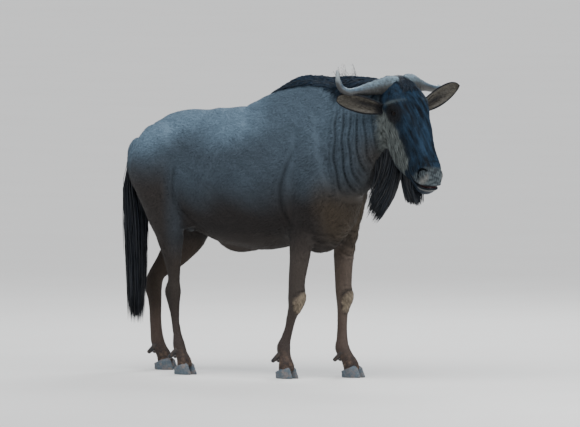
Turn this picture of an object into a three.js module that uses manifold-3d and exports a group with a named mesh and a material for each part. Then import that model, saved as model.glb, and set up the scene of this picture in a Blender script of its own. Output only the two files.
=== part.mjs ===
// A standing blue wildebeest bull, life size, as a still museum model.
// Millimetres. +X runs toward the head, +Y to the animal's left, +Z up; the hooves rest on z = 0.
// Flesh is swept through a few measured stations; hair grows in locks from the swept surfaces.

import * as THREE from "three";
import Module from "manifold-3d";

const wasm = await Module();
wasm.setup();

// Driving dimensions
const GAP = 0.3; // clearance between touching nodes
const FORE_CUT = 560; // height at which the forelegs part from the torso
const HIND_CUT = { front: -230, low: 584, back: -900, high: 735 }; // sloping cut under the haunches
const NECK_CUT = { top: 330, foot: 580, low: 560, high: 1440 }; // cut from the withers to the breast
const FORE_SPREAD = 120; // half the distance between the forefeet
const HIND_SPREAD = 130; // half the distance between the hind feet

// Colours by eye, under daylight
const SLATE = { color: 0x4a4a4c, roughness: 0.8, metalness: 0 };
const LEG_BROWN = { color: 0x4b4038, roughness: 0.85, metalness: 0 };
const FACE_BLACK = { color: 0x1d2127, roughness: 0.8, metalness: 0 };
const HAIR_BLACK = { color: 0x14161c, roughness: 0.6, metalness: 0 };
const EAR_TAN = { color: 0x7a6a58, roughness: 0.85, metalness: 0 };
const EYE_DARK = { color: 0x120b08, roughness: 0.08, metalness: 0 };
const HORN_GREY = { color: 0x6b6e70, roughness: 0.55, metalness: 0 };
const HOOF_GREY = { color: 0x3f464b, roughness: 0.5, metalness: 0 };

const LIMB_FACETS = { sides: 12, steps: 1, caps: [0.6, 0] };
const HEAD_SIDES = 20;
const OVERHEAD = 1600; // height clear of the animal
const BESIDE = 400; // distance from the middle that is clear of the animal
const Y_AXIS = new THREE.Vector3(0, 1, 0);
const DOWN = new THREE.Vector3(0, 0, -1);
const UP = new THREE.Vector3(0, 0, 1);

// Trunk stations: height of back and belly, half width, and how much the top is narrower
const TRUNK = [
  { x: -696, back: 1078, belly: 890, half: 84, egg: 0.1 },
  { x: -625, back: 1136, belly: 800, half: 150, egg: 0.15 },
  { x: -530, back: 1192, belly: 745, half: 188, egg: 0.2 },
  { x: -420, back: 1228, belly: 712, half: 204, egg: 0.2 },
  { x: -290, back: 1238, belly: 650, half: 216, egg: 0.15 },
  { x: -140, back: 1249, belly: 598, half: 232, egg: 0.15 },
  { x: 10, back: 1263, belly: 580, half: 236, egg: 0.2 },
  { x: 110, back: 1305, belly: 600, half: 226, egg: 0.32 },
  { x: 210, back: 1348, belly: 614, half: 208, egg: 0.42 },
  { x: 310, back: 1373, belly: 598, half: 190, egg: 0.45 },
  { x: 405, back: 1352, belly: 566, half: 166, egg: 0.4 },
  { x: 475, back: 1270, belly: 625, half: 125, egg: 0.3 },
];

// Neck stations, square to its axis: centre, half depth, half width
const NECK = [
  { at: [362, 0, 1068], deep: 286, wide: 164, egg: 0.4 },
  { at: [448, 0, 1109], deep: 276, wide: 145, egg: 0.42 },
  { at: [545, -2, 1164], deep: 228, wide: 122, egg: 0.4 },
  { at: [640, -6, 1215], deep: 180, wide: 100, egg: 0.32 },
  { at: [712, -12, 1256], deep: 140, wide: 84, egg: 0.25 },
];

// Foreleg stations from the shoulder blade to the coronet: centre x and z, offset outward from
// the line of the foot, half depth fore and aft, half width
const FORELEG = {
  right: [
    { x: 285, z: 1255, out: -60, deep: 62, wide: 26 },
    { x: 318, z: 1150, out: -20, deep: 90, wide: 46 },
    { x: 352, z: 1020, out: 6, deep: 106, wide: 62 },
    { x: 362, z: 900, out: 24, deep: 108, wide: 68 },
    { x: 338, z: 790, out: 14, deep: 90, wide: 60 },
    { x: 306, z: 700, out: 4, deep: 72, wide: 52 },
    { x: 303, z: 625, out: 0, deep: 61, wide: 47 },
    { x: 295, z: 550, out: 0, deep: 50, wide: 42 },
    { x: 281, z: 455, out: 0, deep: 42, wide: 37 },
    { x: 280, z: 408, out: 0, deep: 42, wide: 40 },
    { x: 281, z: 375, out: 0, deep: 45, wide: 42 },
    { x: 268, z: 325, out: 0, deep: 33, wide: 33 },
    { x: 252, z: 288, out: 0, deep: 26, wide: 26 },
    { x: 238, z: 236, out: 0, deep: 23, wide: 22 },
    { x: 219, z: 182, out: 0, deep: 26, wide: 26 },
    { x: 206, z: 142, out: 0, deep: 34, wide: 34 },
    { x: 213, z: 100, out: 0, deep: 30, wide: 33 },
    { x: 221, z: 64, out: 0, deep: 37, wide: 37 },
    { x: 224, z: 30, out: 0, deep: 40, wide: 38 },
  ],
  left: [
    { x: 300, z: 1255, out: -60, deep: 62, wide: 26 },
    { x: 330, z: 1150, out: -20, deep: 90, wide: 46 },
    { x: 366, z: 1020, out: 6, deep: 106, wide: 62 },
    { x: 386, z: 900, out: 24, deep: 108, wide: 68 },
    { x: 388, z: 790, out: 14, deep: 90, wide: 60 },
    { x: 386, z: 700, out: 4, deep: 74, wide: 52 },
    { x: 384, z: 625, out: 0, deep: 61, wide: 47 },
    { x: 377, z: 550, out: 0, deep: 51, wide: 42 },
    { x: 375, z: 455, out: 0, deep: 43, wide: 37 },
    { x: 377, z: 408, out: 0, deep: 41, wide: 40 },
    { x: 383, z: 375, out: 0, deep: 43, wide: 42 },
    { x: 375, z: 325, out: 0, deep: 31, wide: 33 },
    { x: 371, z: 288, out: 0, deep: 27, wide: 26 },
    { x: 369, z: 236, out: 0, deep: 26, wide: 24 },
    { x: 368, z: 176, out: 0, deep: 29, wide: 28 },
    { x: 370, z: 132, out: 0, deep: 37, wide: 34 },
    { x: 394, z: 96, out: 0, deep: 33, wide: 33 },
    { x: 416, z: 62, out: 0, deep: 38, wide: 37 },
    { x: 424, z: 30, out: 0, deep: 40, wide: 38 },
  ],
};

const HINDLEG = {
  right: [
    { x: -446, z: 1128, out: -62, deep: 84, wide: 50 },
    { x: -468, z: 1070, out: -24, deep: 146, wide: 72 },
    { x: -480, z: 960, out: 2, deep: 164, wide: 80 },
    { x: -466, z: 850, out: 8, deep: 140, wide: 72 },
    { x: -446, z: 750, out: 8, deep: 106, wide: 62 },
    { x: -430, z: 660, out: 6, deep: 78, wide: 54 },
    { x: -419, z: 580, out: 2, deep: 57, wide: 42 },
    { x: -411, z: 500, out: 0, deep: 39, wide: 31 },
    { x: -407, z: 440, out: 0, deep: 31, wide: 28 },
    { x: -413, z: 385, out: 0, deep: 44, wide: 31 },
    { x: -409, z: 335, out: 0, deep: 34, wide: 27 },
    { x: -403, z: 290, out: 0, deep: 26, wide: 23 },
    { x: -398, z: 240, out: 0, deep: 22, wide: 20 },
    { x: -388, z: 185, out: 0, deep: 23, wide: 22 },
    { x: -378, z: 132, out: 0, deep: 31, wide: 31 },
    { x: -364, z: 96, out: 0, deep: 29, wide: 31 },
    { x: -350, z: 62, out: 0, deep: 36, wide: 35 },
    { x: -345, z: 30, out: 0, deep: 39, wide: 36 },
  ],
  left: [
    { x: -446, z: 1128, out: -62, deep: 84, wide: 50 },
    { x: -474, z: 1070, out: -24, deep: 146, wide: 72 },
    { x: -494, z: 960, out: 2, deep: 164, wide: 80 },
    { x: -500, z: 850, out: 8, deep: 142, wide: 72 },
    { x: -506, z: 750, out: 8, deep: 116, wide: 64 },
    { x: -510, z: 660, out: 6, deep: 110, wide: 56 },
    { x: -560, z: 580, out: 2, deep: 88, wide: 46 },
    { x: -628, z: 505, out: 0, deep: 62, wide: 36 },
    { x: -686, z: 448, out: 0, deep: 43, wide: 31 },
    { x: -708, z: 392, out: 0, deep: 47, wide: 32 },
    { x: -702, z: 335, out: 0, deep: 38, wide: 29 },
    { x: -698, z: 290, out: 0, deep: 34, wide: 26 },
    { x: -697, z: 240, out: 0, deep: 32, wide: 25 },
    { x: -693, z: 185, out: 0, deep: 32, wide: 26 },
    { x: -685, z: 132, out: 0, deep: 35, wide: 31 },
    { x: -667, z: 96, out: 0, deep: 33, wide: 32 },
    { x: -646, z: 62, out: 0, deep: 37, wide: 35 },
    { x: -640, z: 30, out: 0, deep: 39, wide: 36 },
  ],
};

// Feet: middle of the sole and its turn about the vertical, degrees
const FEET = {
  foreleg_right: { x: 228, y: -FORE_SPREAD, turn: -6 },
  foreleg_left: { x: 434, y: FORE_SPREAD, turn: 4 },
  hindleg_right: { x: -340, y: -HIND_SPREAD, turn: -6 },
  hindleg_left: { x: -634, y: HIND_SPREAD, turn: 6 },
};
const CLAW = { length: 99, width: 37, split: 5, height: 74, toe: 0.55, lean: 24 };
const CORONET = { front: 62, heel: 38, reach: 40 };
const DEWCLAW = { back: 44, apart: 19, z: 106, length: 42, radius: 16 };

// Head: pose of the skull, then its stations down the face from the poll
const POLL = new THREE.Vector3(776, 0, 1380);
const HEAD_YAW = -19.5; // degrees, toward the animal's right
const FACE_TILT = 30; // degrees of the face from the vertical
const HEAD = [
  { down: -34, face: 8, jaw: -118, brow: 42, cheek: 62, chin: 46 },
  { down: 0, face: 32, jaw: -160, brow: 62, cheek: 84, chin: 60 },
  { down: 60, face: 52, jaw: -188, brow: 82, cheek: 100, chin: 72 },
  { down: 112, face: 62, jaw: -206, brow: 94, cheek: 104, chin: 76 },
  { down: 160, face: 66, jaw: -216, brow: 86, cheek: 97, chin: 73 },
  { down: 220, face: 65, jaw: -217, brow: 74, cheek: 88, chin: 66 },
  { down: 290, face: 60, jaw: -211, brow: 62, cheek: 76, chin: 56 },
  { down: 350, face: 54, jaw: -192, brow: 53, cheek: 65, chin: 50 },
  { down: 405, face: 51, jaw: -160, brow: 50, cheek: 59, chin: 45 },
  { down: 452, face: 50, jaw: -130, brow: 51, cheek: 58, chin: 42 },
  { down: 492, face: 40, jaw: -112, brow: 51, cheek: 60, chin: 44 },
  { down: 524, face: 19, jaw: -98, brow: 42, cheek: 51, chin: 39 },
  { down: 546, face: -12, jaw: -76, brow: 22, cheek: 32, chin: 25 },
];
const EYE = { down: 156, side: 74, out: -6, radius: 20, lid: 3.5, long: 20, high: 13 };
const BROW = { rise: 27, reach: 26, radius: 9 };
const NOSTRIL = { down: 488, out: 4, turn: 31, radius: 6.5, from: 118, to: 280, pad: 26 };
const MOUTH = { corner: 436, cornerOut: -84, middle: 490, middleOut: -76, front: 550, frontOut: -12 };
const MOUTH_GROOVE = { corner: 3, front: 22, sunk: 8 };
const LIP_RADIUS = 5.5;

// Horn centre lines from the poll: sideways, forward, up, and half thickness
const HORN = {
  right: [
    { side: 22, ahead: 6, up: -14, thick: 42 },
    { side: 60, ahead: -8, up: -12, thick: 41 },
    { side: 98, ahead: -24, up: -20, thick: 36 },
    { side: 146, ahead: -46, up: -30, thick: 29 },
    { side: 196, ahead: -64, up: -40, thick: 20 },
    { side: 236, ahead: -78, up: -43, thick: 17.5 },
    { side: 266, ahead: -88, up: -28, thick: 16.5 },
    { side: 283, ahead: -92, up: 4, thick: 14 },
    { side: 287, ahead: -93, up: 34, thick: 9 },
  ],
  left: [
    { side: 22, ahead: 6, up: -10, thick: 42 },
    { side: 60, ahead: -8, up: -4, thick: 41 },
    { side: 98, ahead: -24, up: -12, thick: 36 },
    { side: 146, ahead: -44, up: -20, thick: 28 },
    { side: 194, ahead: -58, up: -30, thick: 20 },
    { side: 232, ahead: -70, up: -37, thick: 17.5 },
    { side: 262, ahead: -76, up: -39, thick: 15.5 },
    { side: 280, ahead: -80, up: -34, thick: 13.5 },
  ],
};
const HORN_TIP = { right: 26, left: 12 }; // end beyond the last station, worn short on the left

// Ears: root on the head (down, side, out) and the way each points (sideways, forward, up)
const EAR = { length: 222, width: 84, thick: 5, cup: 26 };
const EARS = {
  right: { root: [100, 92, -66], point: [0.88, -0.4, 0.2], face: [0.35, 0.85, -0.2] },
  left: { root: [106, 102, -60], point: [0.84, 0.36, 0.48], face: [-0.5, 0.8, -0.3] },
};

// Tail: centre line of the dock, then the tuft
const DOCK = [
  { at: [-664, 0, 1062], deep: 30, wide: 32, egg: 0 },
  { at: [-712, 0, 1052], deep: 29, wide: 31, egg: 0 },
  { at: [-738, 0, 1000], deep: 24, wide: 26, egg: 0 },
  { at: [-736, 0, 900], deep: 19, wide: 21, egg: 0 },
  { at: [-728, 0, 780], deep: 15, wide: 16, egg: 0 },
  { at: [-720, 0, 640], deep: 10, wide: 11, egg: 0 },
];

// Locks of hair: places along what each group grows from, and the size of one lock
const MANE = { start: 78, end: 738, spacing: 55, width: 44, thick: 9, core: 13 };
const THROAT = { low: 0.6, high: 0.97, rows: 5, spread: [-26, 0, 26], width: 48, thick: 10, core: 26 };
const JAW = { low: 374, high: 456, rows: 3, spread: [-24, 0, 24], width: 44, thick: 9, core: 16 };
const TAIL = { top: 985, low: 600, locks: 16, width: 54, thick: 12, middle: -714, foot: 210 };
const FORELOCK = { rows: 2, spread: [-17, 0, 17], width: 28, thick: 8, core: 12 };

// Closed surface through rings of points, with a point at each end
function loft(rings, startTip, endTip) {
  const sides = rings[0].length;
  const points = [startTip, ...rings.flat(), endTip];
  const last = points.length - 1;
  const index = [];
  for (let s = 0; s < sides; s += 1) {
    const next = (s + 1) % sides;
    index.push(0, 1 + next, 1 + s);
    for (let r = 0; r < rings.length - 1; r += 1) {
      const near = 1 + r * sides;
      const far = near + sides;
      index.push(near + s, near + next, far + next, near + s, far + next, far + s);
    }
    const end = 1 + (rings.length - 1) * sides;
    index.push(end + s, end + next, last);
  }
  return solidOf(points, index);
}

// Solid from points and triangles, turned the right way out
function solidOf(points, index) {
  let volume = 0;
  const cross = new THREE.Vector3();
  for (let i = 0; i < index.length; i += 3) {
    const [a, b, c] = [points[index[i]], points[index[i + 1]], points[index[i + 2]]];
    volume += cross.crossVectors(b, c).dot(a);
  }
  const turned = volume < 0 ? index.slice().reverse() : index;
  const positions = new Float32Array(points.flatMap((p) => [p.x, p.y, p.z]));
  return new wasm.Manifold(
    new wasm.Mesh({ numProp: 3, vertProperties: positions, triVerts: new Uint32Array(turned) }),
  );
}

// Solid from a closed three.js geometry that already shares its vertices by place
function solidOfGeometry(geometry, matrix) {
  const placed = geometry.clone().applyMatrix4(matrix);
  const position = placed.attributes.position;
  const byPlace = new Map();
  const points = [];
  const slot = [];
  for (let i = 0; i < position.count; i += 1) {
    const point = new THREE.Vector3().fromBufferAttribute(position, i);
    const key = [point.x, point.y, point.z].map((v) => v.toFixed(3)).join(" ");
    if (!byPlace.has(key)) {
      byPlace.set(key, points.length);
      points.push(point);
    }
    slot.push(byPlace.get(key));
  }
  const order = placed.index ? Array.from(placed.index.array) : slot.map((_, i) => i);
  const index = [];
  for (let i = 0; i < order.length; i += 3) {
    const [a, b, c] = [slot[order[i]], slot[order[i + 1]], slot[order[i + 2]]];
    if (a !== b && b !== c && c !== a) {
      index.push(a, b, c);
    }
  }
  return solidOf(points, index);
}

// Smooth centre line and sizes through stations {at, deep, wide, egg}
function spine(stations) {
  const path = new THREE.CatmullRomCurve3(stations.map((s) => new THREE.Vector3(...s.at)));
  const sizes = new THREE.CatmullRomCurve3(
    stations.map((s) => new THREE.Vector3(s.deep, s.wide, s.egg ?? 0)),
  );
  return { path, sizes };
}

// Axes of a section: along the sweep, across it, and square to both
function sectionAxes(path, t, across) {
  const along = path.getTangent(t);
  const side = across.clone().addScaledVector(along, -across.dot(along)).normalize();
  const up = new THREE.Vector3().crossVectors(along, side);
  return { along, side, up };
}

// Point of a swept surface: angle 0 is the side, a quarter turn is the top
function sweptPoint(line, t, angle, { across = Y_AXIS, grow = 0, scale = 1, shift = 0 } = {}) {
  const { along, side, up } = sectionAxes(line.path, t, across);
  const size = line.sizes.getPoint(t);
  const rise = Math.sin(angle);
  const reach = Math.cos(angle) * (1 - size.z * rise);
  return line.path
    .getPoint(t)
    .addScaledVector(side, reach * (size.y + grow) * scale)
    .addScaledVector(up, rise * (size.x + grow) * scale)
    .addScaledVector(along, shift);
}

// Solid swept through stations, with round ends
function sweep(
  stations,
  { sides = 20, steps = 2, across = Y_AXIS, grow = 0, caps = [], capRings = [0.85, 0.45] } = {},
) {
  const line = spine(stations);
  const rings = [];
  const count = (stations.length - 1) * steps;
  const [startCap = 0.5, endCap = 0.5] = caps;
  const ring = (t, scale, shift) =>
    Array.from({ length: sides }, (_, s) =>
      sweptPoint(line, t, (s / sides) * 2 * Math.PI, { across, grow, scale, shift }),
    );
  const capLength = (t, share) => share * Math.min(line.sizes.getPoint(t).x, line.sizes.getPoint(t).y);
  const ends = [capLength(0, startCap) + grow, capLength(1, endCap) + grow];
  for (const lift of capRings) {
    rings.push(ring(0, Math.sqrt(1 - lift * lift), -ends[0] * lift));
  }
  for (let i = 0; i <= count; i += 1) {
    rings.push(ring(i / count, 1, 0));
  }
  for (const lift of capRings.slice().reverse()) {
    rings.push(ring(1, Math.sqrt(1 - lift * lift), ends[1] * lift));
  }
  const tip = (t, shift) =>
    line.path.getPoint(t).addScaledVector(sectionAxes(line.path, t, across).along, shift);
  return loft(rings, tip(0, -ends[0]), tip(1, ends[1]));
}

// Space across the whole width above or below an outline given by its x and z
function prism(outline, width = 900) {
  const shape = new THREE.Shape(outline.map(([x, z]) => new THREE.Vector2(x, z)));
  const slab = new THREE.ExtrudeGeometry(shape, { depth: width, bevelEnabled: false });
  const matrix = new THREE.Matrix4().makeRotationX(Math.PI / 2).setPosition(0, width / 2, 0);
  return solidOfGeometry(slab, matrix);
}

function joined(solids) {
  return solids.reduce((sum, solid) => sum.add(solid));
}

// A node keeps only its largest closed surface
function largest(solid) {
  return solid.decompose().reduce((best, piece) => (piece.volume() > best.volume() ? piece : best));
}

// Repeatable random numbers from 0 to 1
function seeded(seed) {
  let state = seed;
  return () => {
    state = (state + 0x6d2b79f5) | 0;
    let mix = Math.imul(state ^ (state >>> 15), 1 | state);
    mix = (mix + Math.imul(mix ^ (mix >>> 7), 61 | mix)) ^ mix;
    return ((mix ^ (mix >>> 14)) >>> 0) / 4294967296;
  };
}

// Trunk, neck and limbs as swept solids
const trunkStations = TRUNK.map(({ x, back, belly, half, egg }) => ({
  at: [x, 0, (back + belly) / 2],
  deep: (back - belly) / 2,
  wide: half,
  egg,
}));

function limbStations(stations, spread) {
  return stations.map(({ x, z, out, deep, wide }) => ({
    at: [x, spread + Math.sign(spread) * out, z],
    deep,
    wide,
  }));
}

const limbs = {
  foreleg_right: limbStations(FORELEG.right, -FORE_SPREAD),
  foreleg_left: limbStations(FORELEG.left, FORE_SPREAD),
  hindleg_right: limbStations(HINDLEG.right, -HIND_SPREAD),
  hindleg_left: limbStations(HINDLEG.left, HIND_SPREAD),
};

const FLANK = [-1, 1].map((side) => [
  { at: [-232, side * 158, 742], deep: 40, wide: 22 },
  { at: [-312, side * 146, 722], deep: 44, wide: 30 },
  { at: [-400, side * 130, 700], deep: 46, wide: 36 },
]);
const SHEATH = [
  { at: [-30, 0, 604], deep: 28, wide: 34 },
  { at: [-110, 0, 592], deep: 27, wide: 28 },
  { at: [-170, 0, 596], deep: 25, wide: 24 },
  { at: [-225, 0, 622], deep: 24, wide: 24 },
];
const SCROTUM = [
  { at: [-410, 0, 720], deep: 40, wide: 44 },
  { at: [-404, 0, 684], deep: 36, wide: 42 },
];

function flesh(grow) {
  return joined([
    sweep(trunkStations, { sides: 24, steps: 1, grow, caps: [0.5, 0.6] }),
    sweep(NECK, { sides: 20, steps: 1, grow, caps: [0.3, 0.2] }),
    ...Object.values(limbs).map((stations) => sweep(stations, { ...LIMB_FACETS, grow })),
    ...FLANK.map((stations) => sweep(stations, { sides: 8, steps: 1, grow })),
    sweep(SHEATH, { sides: 8, steps: 1, grow, capRings: [0.65] }),
    sweep(SCROTUM, { sides: 10, steps: 1, grow, caps: [0.5, 0.9] }),
  ]);
}

// Head frame: down the face, out to the side and forward out of the face
const yaw = THREE.MathUtils.degToRad(HEAD_YAW);
const tilt = THREE.MathUtils.degToRad(FACE_TILT);
const ahead = new THREE.Vector3(Math.cos(yaw), Math.sin(yaw), 0);
const leftward = new THREE.Vector3(-Math.sin(yaw), Math.cos(yaw), 0);
const faceDown = ahead.clone().multiplyScalar(Math.sin(tilt)).addScaledVector(DOWN, Math.cos(tilt));
const faceOut = new THREE.Vector3().crossVectors(faceDown, leftward).normalize();

function onHead(down, side, out) {
  return POLL.clone()
    .addScaledVector(faceDown, down)
    .addScaledVector(leftward, side)
    .addScaledVector(faceOut, out);
}

function fromPoll(side, forward, up) {
  return POLL.clone()
    .addScaledVector(leftward, side)
    .addScaledVector(ahead, forward)
    .addScaledVector(DOWN, -up);
}

// One ring of the head, a closed curve through its brow, cheek and chin widths
function headRing({ down, face, jaw, brow, cheek, chin }, sides, grow) {
  const deep = face - jaw;
  const half = [
    [0, face + grow],
    [0.6 * brow, face - 0.01 * deep + grow],
    [brow + grow, face - 0.1 * deep],
    [cheek + grow, face - 0.42 * deep],
    [chin + grow, face - 0.8 * deep],
    [0.55 * chin, jaw + 0.03 * deep - grow],
    [0, jaw - grow],
  ];
  const mirrored = half.slice(1, -1).reverse().map(([side, out]) => [-side, out]);
  const outline = new THREE.CatmullRomCurve3(
    [...half, ...mirrored].map(([side, out]) => new THREE.Vector3(side, out, 0)),
    true,
  );
  return Array.from({ length: sides }, (_, s) => {
    const point = outline.getPoint(s / sides);
    return onHead(down, point.x, point.y);
  });
}

function skull(grow) {
  const rings = HEAD.map((station) => headRing(station, HEAD_SIDES, grow));
  const [first, last] = [HEAD[0], HEAD[HEAD.length - 1]];
  return loft(
    rings,
    onHead(first.down - 14 - grow, 0, (first.face + first.jaw) / 2),
    onHead(last.down + 8 + grow, 0, (last.face + last.jaw) / 2),
  );
}

// Mesh of a solid, for finding the places where hair grows
function meshOf(solid) {
  const { vertProperties, triVerts, numProp } = solid.getMesh();
  const geometry = new THREE.BufferGeometry();
  geometry.setAttribute("position", new THREE.BufferAttribute(vertProperties, numProp));
  geometry.setIndex(new THREE.BufferAttribute(triVerts, 1));
  return new THREE.Mesh(geometry, new THREE.MeshStandardMaterial({ side: THREE.DoubleSide }));
}

// Place on a mesh first met from a point outside it, lifted off by a height
function surfacePoint(mesh, origin, direction, height = 0) {
  const [hit] = new THREE.Raycaster(origin, direction.clone().normalize()).intersectObject(mesh);
  return hit.point.addScaledVector(hit.face.normal, height);
}

const headMatrix = new THREE.Matrix4().makeBasis(faceDown, leftward, faceOut);
const headMesh = meshOf(skull(0));

// Sideways reach of the head's surface at a place seen from its side, sunk by a depth
function onCheek(down, out, side, sunk) {
  const inward = leftward.clone().multiplyScalar(-side);
  const met = surfacePoint(headMesh, onHead(down, side * BESIDE, out), inward);
  return side * (met.sub(POLL).dot(leftward) * side - sunk);
}

function eyeball(side, radius) {
  const matrix = headMatrix.clone().setPosition(onHead(EYE.down, side * EYE.side, EYE.out));
  return solidOfGeometry(new THREE.SphereGeometry(radius, 12, 8), matrix);
}

// Lens-shaped opening between the lids
function lidOpening(side) {
  const matrix = headMatrix
    .clone()
    .setPosition(onHead(EYE.down, side * (EYE.side + EYE.radius), EYE.out + 5))
    .multiply(new THREE.Matrix4().makeRotationY(THREE.MathUtils.degToRad(32)))
    .multiply(new THREE.Matrix4().makeScale(EYE.high / EYE.long, 1.1, 1));
  return solidOfGeometry(new THREE.SphereGeometry(EYE.long, 12, 8), matrix);
}

function headSweep(stations, options) {
  return sweep(
    stations.map(({ down, side, out, deep, wide }) => ({
      at: onHead(down, side, out).toArray(),
      deep,
      wide: wide ?? deep,
    })),
    { sides: 7, steps: 1, across: leftward, capRings: [0.65], ...options },
  );
}

// Fold of skin that arches over the eye
function browRidge(side) {
  return headSweep(
    [-1, -0.35, 0.35, 1].map((step) => ({
      down: EYE.down - BROW.rise + 0.45 * BROW.rise * step * step,
      side: onCheek(EYE.down - BROW.rise, EYE.out + 6, side, 4 + 3 * step * step),
      out: EYE.out + 6 + BROW.reach * step,
      deep: BROW.radius * (1 - 0.35 * step * step),
    })),
    { across: faceDown },
  );
}

// Curved slit of the nostril, open toward the lip
function nostril(side) {
  return headSweep(
    [0, 0.25, 0.5, 0.75, 1].map((share) => {
      const angle = THREE.MathUtils.degToRad(THREE.MathUtils.lerp(NOSTRIL.from, NOSTRIL.to, share));
      const down = NOSTRIL.down + NOSTRIL.turn * Math.cos(angle);
      const out = NOSTRIL.out + NOSTRIL.turn * Math.sin(angle);
      return {
        down,
        side: onCheek(down, out, side, 1),
        out,
        deep: NOSTRIL.radius * (1 - 1.6 * (share - 0.5) ** 2),
      };
    }),
    { sides: 8 },
  );
}

// Rounded pad that the slit runs round
function nostrilPad(side) {
  const matrix = headMatrix
    .clone()
    .setPosition(onHead(NOSTRIL.down, onCheek(NOSTRIL.down, NOSTRIL.out, side, 15), NOSTRIL.out))
    .multiply(new THREE.Matrix4().makeScale(1, 0.75, 1.1));
  return solidOfGeometry(new THREE.SphereGeometry(NOSTRIL.pad, 10, 6), matrix);
}

// Line of the mouth in the plane of the face, as a curve from one end to the other
const mouthLine = new THREE.QuadraticBezierCurve(
  new THREE.Vector2(MOUTH.corner, MOUTH.cornerOut),
  new THREE.Vector2(MOUTH.middle, MOUTH.middleOut),
  new THREE.Vector2(MOUTH.front, MOUTH.frontOut),
);

function mouthGroove() {
  const upper = [];
  const lower = [];
  const steps = 6;
  mouthLine.getPoints(steps).forEach((point, i) => {
    const half = THREE.MathUtils.lerp(MOUTH_GROOVE.corner, MOUTH_GROOVE.front, i / steps) / 2;
    upper.push(new THREE.Vector2(point.x - 0.4 * half, point.y + half));
    lower.unshift(new THREE.Vector2(point.x + 0.4 * half, point.y - half));
  });
  const across = 200;
  const slab = new THREE.ExtrudeGeometry(new THREE.Shape([...upper, ...lower]), {
    depth: across,
    bevelEnabled: false,
  });
  const matrix = new THREE.Matrix4()
    .makeBasis(faceDown, faceOut, leftward.clone().negate())
    .setPosition(onHead(0, across / 2, 0));
  return solidOfGeometry(slab, matrix).subtract(skull(-MOUTH_GROOVE.sunk));
}

function lipRidge(side, below) {
  return headSweep(
    [0.08, 0.34, 0.6, 0.82].map((share) => {
      const point = mouthLine.getPoint(share);
      const gap = THREE.MathUtils.lerp(MOUTH_GROOVE.corner, MOUTH_GROOVE.front, share) / 2;
      const away = (gap + 0.8 * LIP_RADIUS) * (below ? -1 : 1);
      const [down, out] = [point.x - 0.4 * away, point.y + away];
      return { down, side: onCheek(down, out, side, 1.5), out, deep: LIP_RADIUS };
    }),
    { sides: 6 },
  );
}

// Horns, thick and flattened at the boss and round toward the tip
function horn(name, grow) {
  const side = name === "right" ? -1 : 1;
  const stations = HORN[name].map(({ side: reach, ahead: forward, up, thick }) => ({
    at: fromPoll(side * reach, forward, up).toArray(),
    deep: thick,
    wide: thick * 0.92,
  }));
  return sweep(stations, {
    sides: 12,
    steps: 1,
    across: ahead,
    grow,
    caps: [0.2, HORN_TIP[name] / HORN[name].at(-1).thick],
  });
}

// Leaf-shaped ear, cupped toward its open side
function ear(name) {
  const { root, point, face } = EARS[name];
  const side = name === "right" ? -1 : 1;
  const turned = ([a, b, c]) =>
    leftward.clone().multiplyScalar(side * a).addScaledVector(ahead, b).addScaledVector(DOWN, -c);
  const along = turned(point).normalize();
  const open = turned(face);
  open.addScaledVector(along, -open.dot(along)).normalize();
  const across = new THREE.Vector3().crossVectors(along, open);
  const base = onHead(root[0], side * root[1], root[2]);
  const rows = 9;
  const columns = 6;
  const rowAt = (share) => {
    const widest = 0.5;
    const narrow = THREE.MathUtils.lerp(0.55, 1, Math.sin(Math.min(1, share / widest) * (Math.PI / 2)));
    const past = Math.max(0, (share - widest) / (1.04 - widest));
    return (EAR.width / 2) * narrow * Math.sqrt(1 - past ** 2.2);
  };
  const rings = [];
  for (let r = 0; r < rows; r += 1) {
    const share = r / rows;
    const half = rowAt(share);
    const wrap = THREE.MathUtils.lerp(1.35, 0.45, share);
    const radius = half / Math.sin(wrap);
    const ring = [];
    const put = (angle, depth) => {
      const spot = base.clone().addScaledVector(along, share * EAR.length);
      spot.addScaledVector(across, Math.sin(angle) * (radius - depth));
      spot.addScaledVector(open, radius * (1 - 0.5 * share) - Math.cos(angle) * (radius - depth));
      ring.push(spot);
    };
    for (let c = 0; c <= columns; c += 1) {
      put(THREE.MathUtils.lerp(-wrap, wrap, c / columns), 0);
    }
    for (let c = columns - 1; c > 0; c -= 1) {
      put(THREE.MathUtils.lerp(-wrap, wrap, c / columns), EAR.thick * (1 - 0.55 * share));
    }
    rings.push(ring);
  }
  const middle = (share, lift) =>
    base.clone().addScaledVector(along, share * EAR.length).addScaledVector(open, lift);
  return loft(rings, middle(-0.04, 6), middle(0.99, EAR.cup * 0.2));
}

// One claw of a hoof: a pointed outline that leans back as it rises
function claw(foot, side, grow) {
  const turn = THREE.MathUtils.degToRad(foot.turn);
  const sides = 10;
  const outline = (height) => {
    const share = height / CLAW.height;
    const length = CLAW.length * (1 - 0.26 * share);
    const width = CLAW.width * (1 - 0.1 * share);
    const back = height * Math.tan(THREE.MathUtils.degToRad(CLAW.lean)) * 0.55;
    return Array.from({ length: sides }, (_, s) => {
      const angle = (s / sides) * 2 * Math.PI;
      const narrowing = 1 - CLAW.toe * Math.max(0, Math.cos(angle)) ** 2;
      const x = (length / 2 + grow) * Math.cos(angle) - back;
      const middle = side * (CLAW.split / 2 + CLAW.width / 2);
      const y = middle + (width / 2 + grow) * Math.sin(angle) * narrowing;
      return new THREE.Vector3(
        foot.x + x * Math.cos(turn) - y * Math.sin(turn),
        foot.y + x * Math.sin(turn) + y * Math.cos(turn),
        height === 0 ? -grow : height,
      );
    });
  };
  const rings = [0, 16, CLAW.height + 20].map(outline);
  const centre = (ring) =>
    ring.reduce((sum, point) => sum.add(point), new THREE.Vector3()).divideScalar(ring.length);
  return loft(rings, centre(rings[0]), centre(rings.at(-1)));
}

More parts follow.
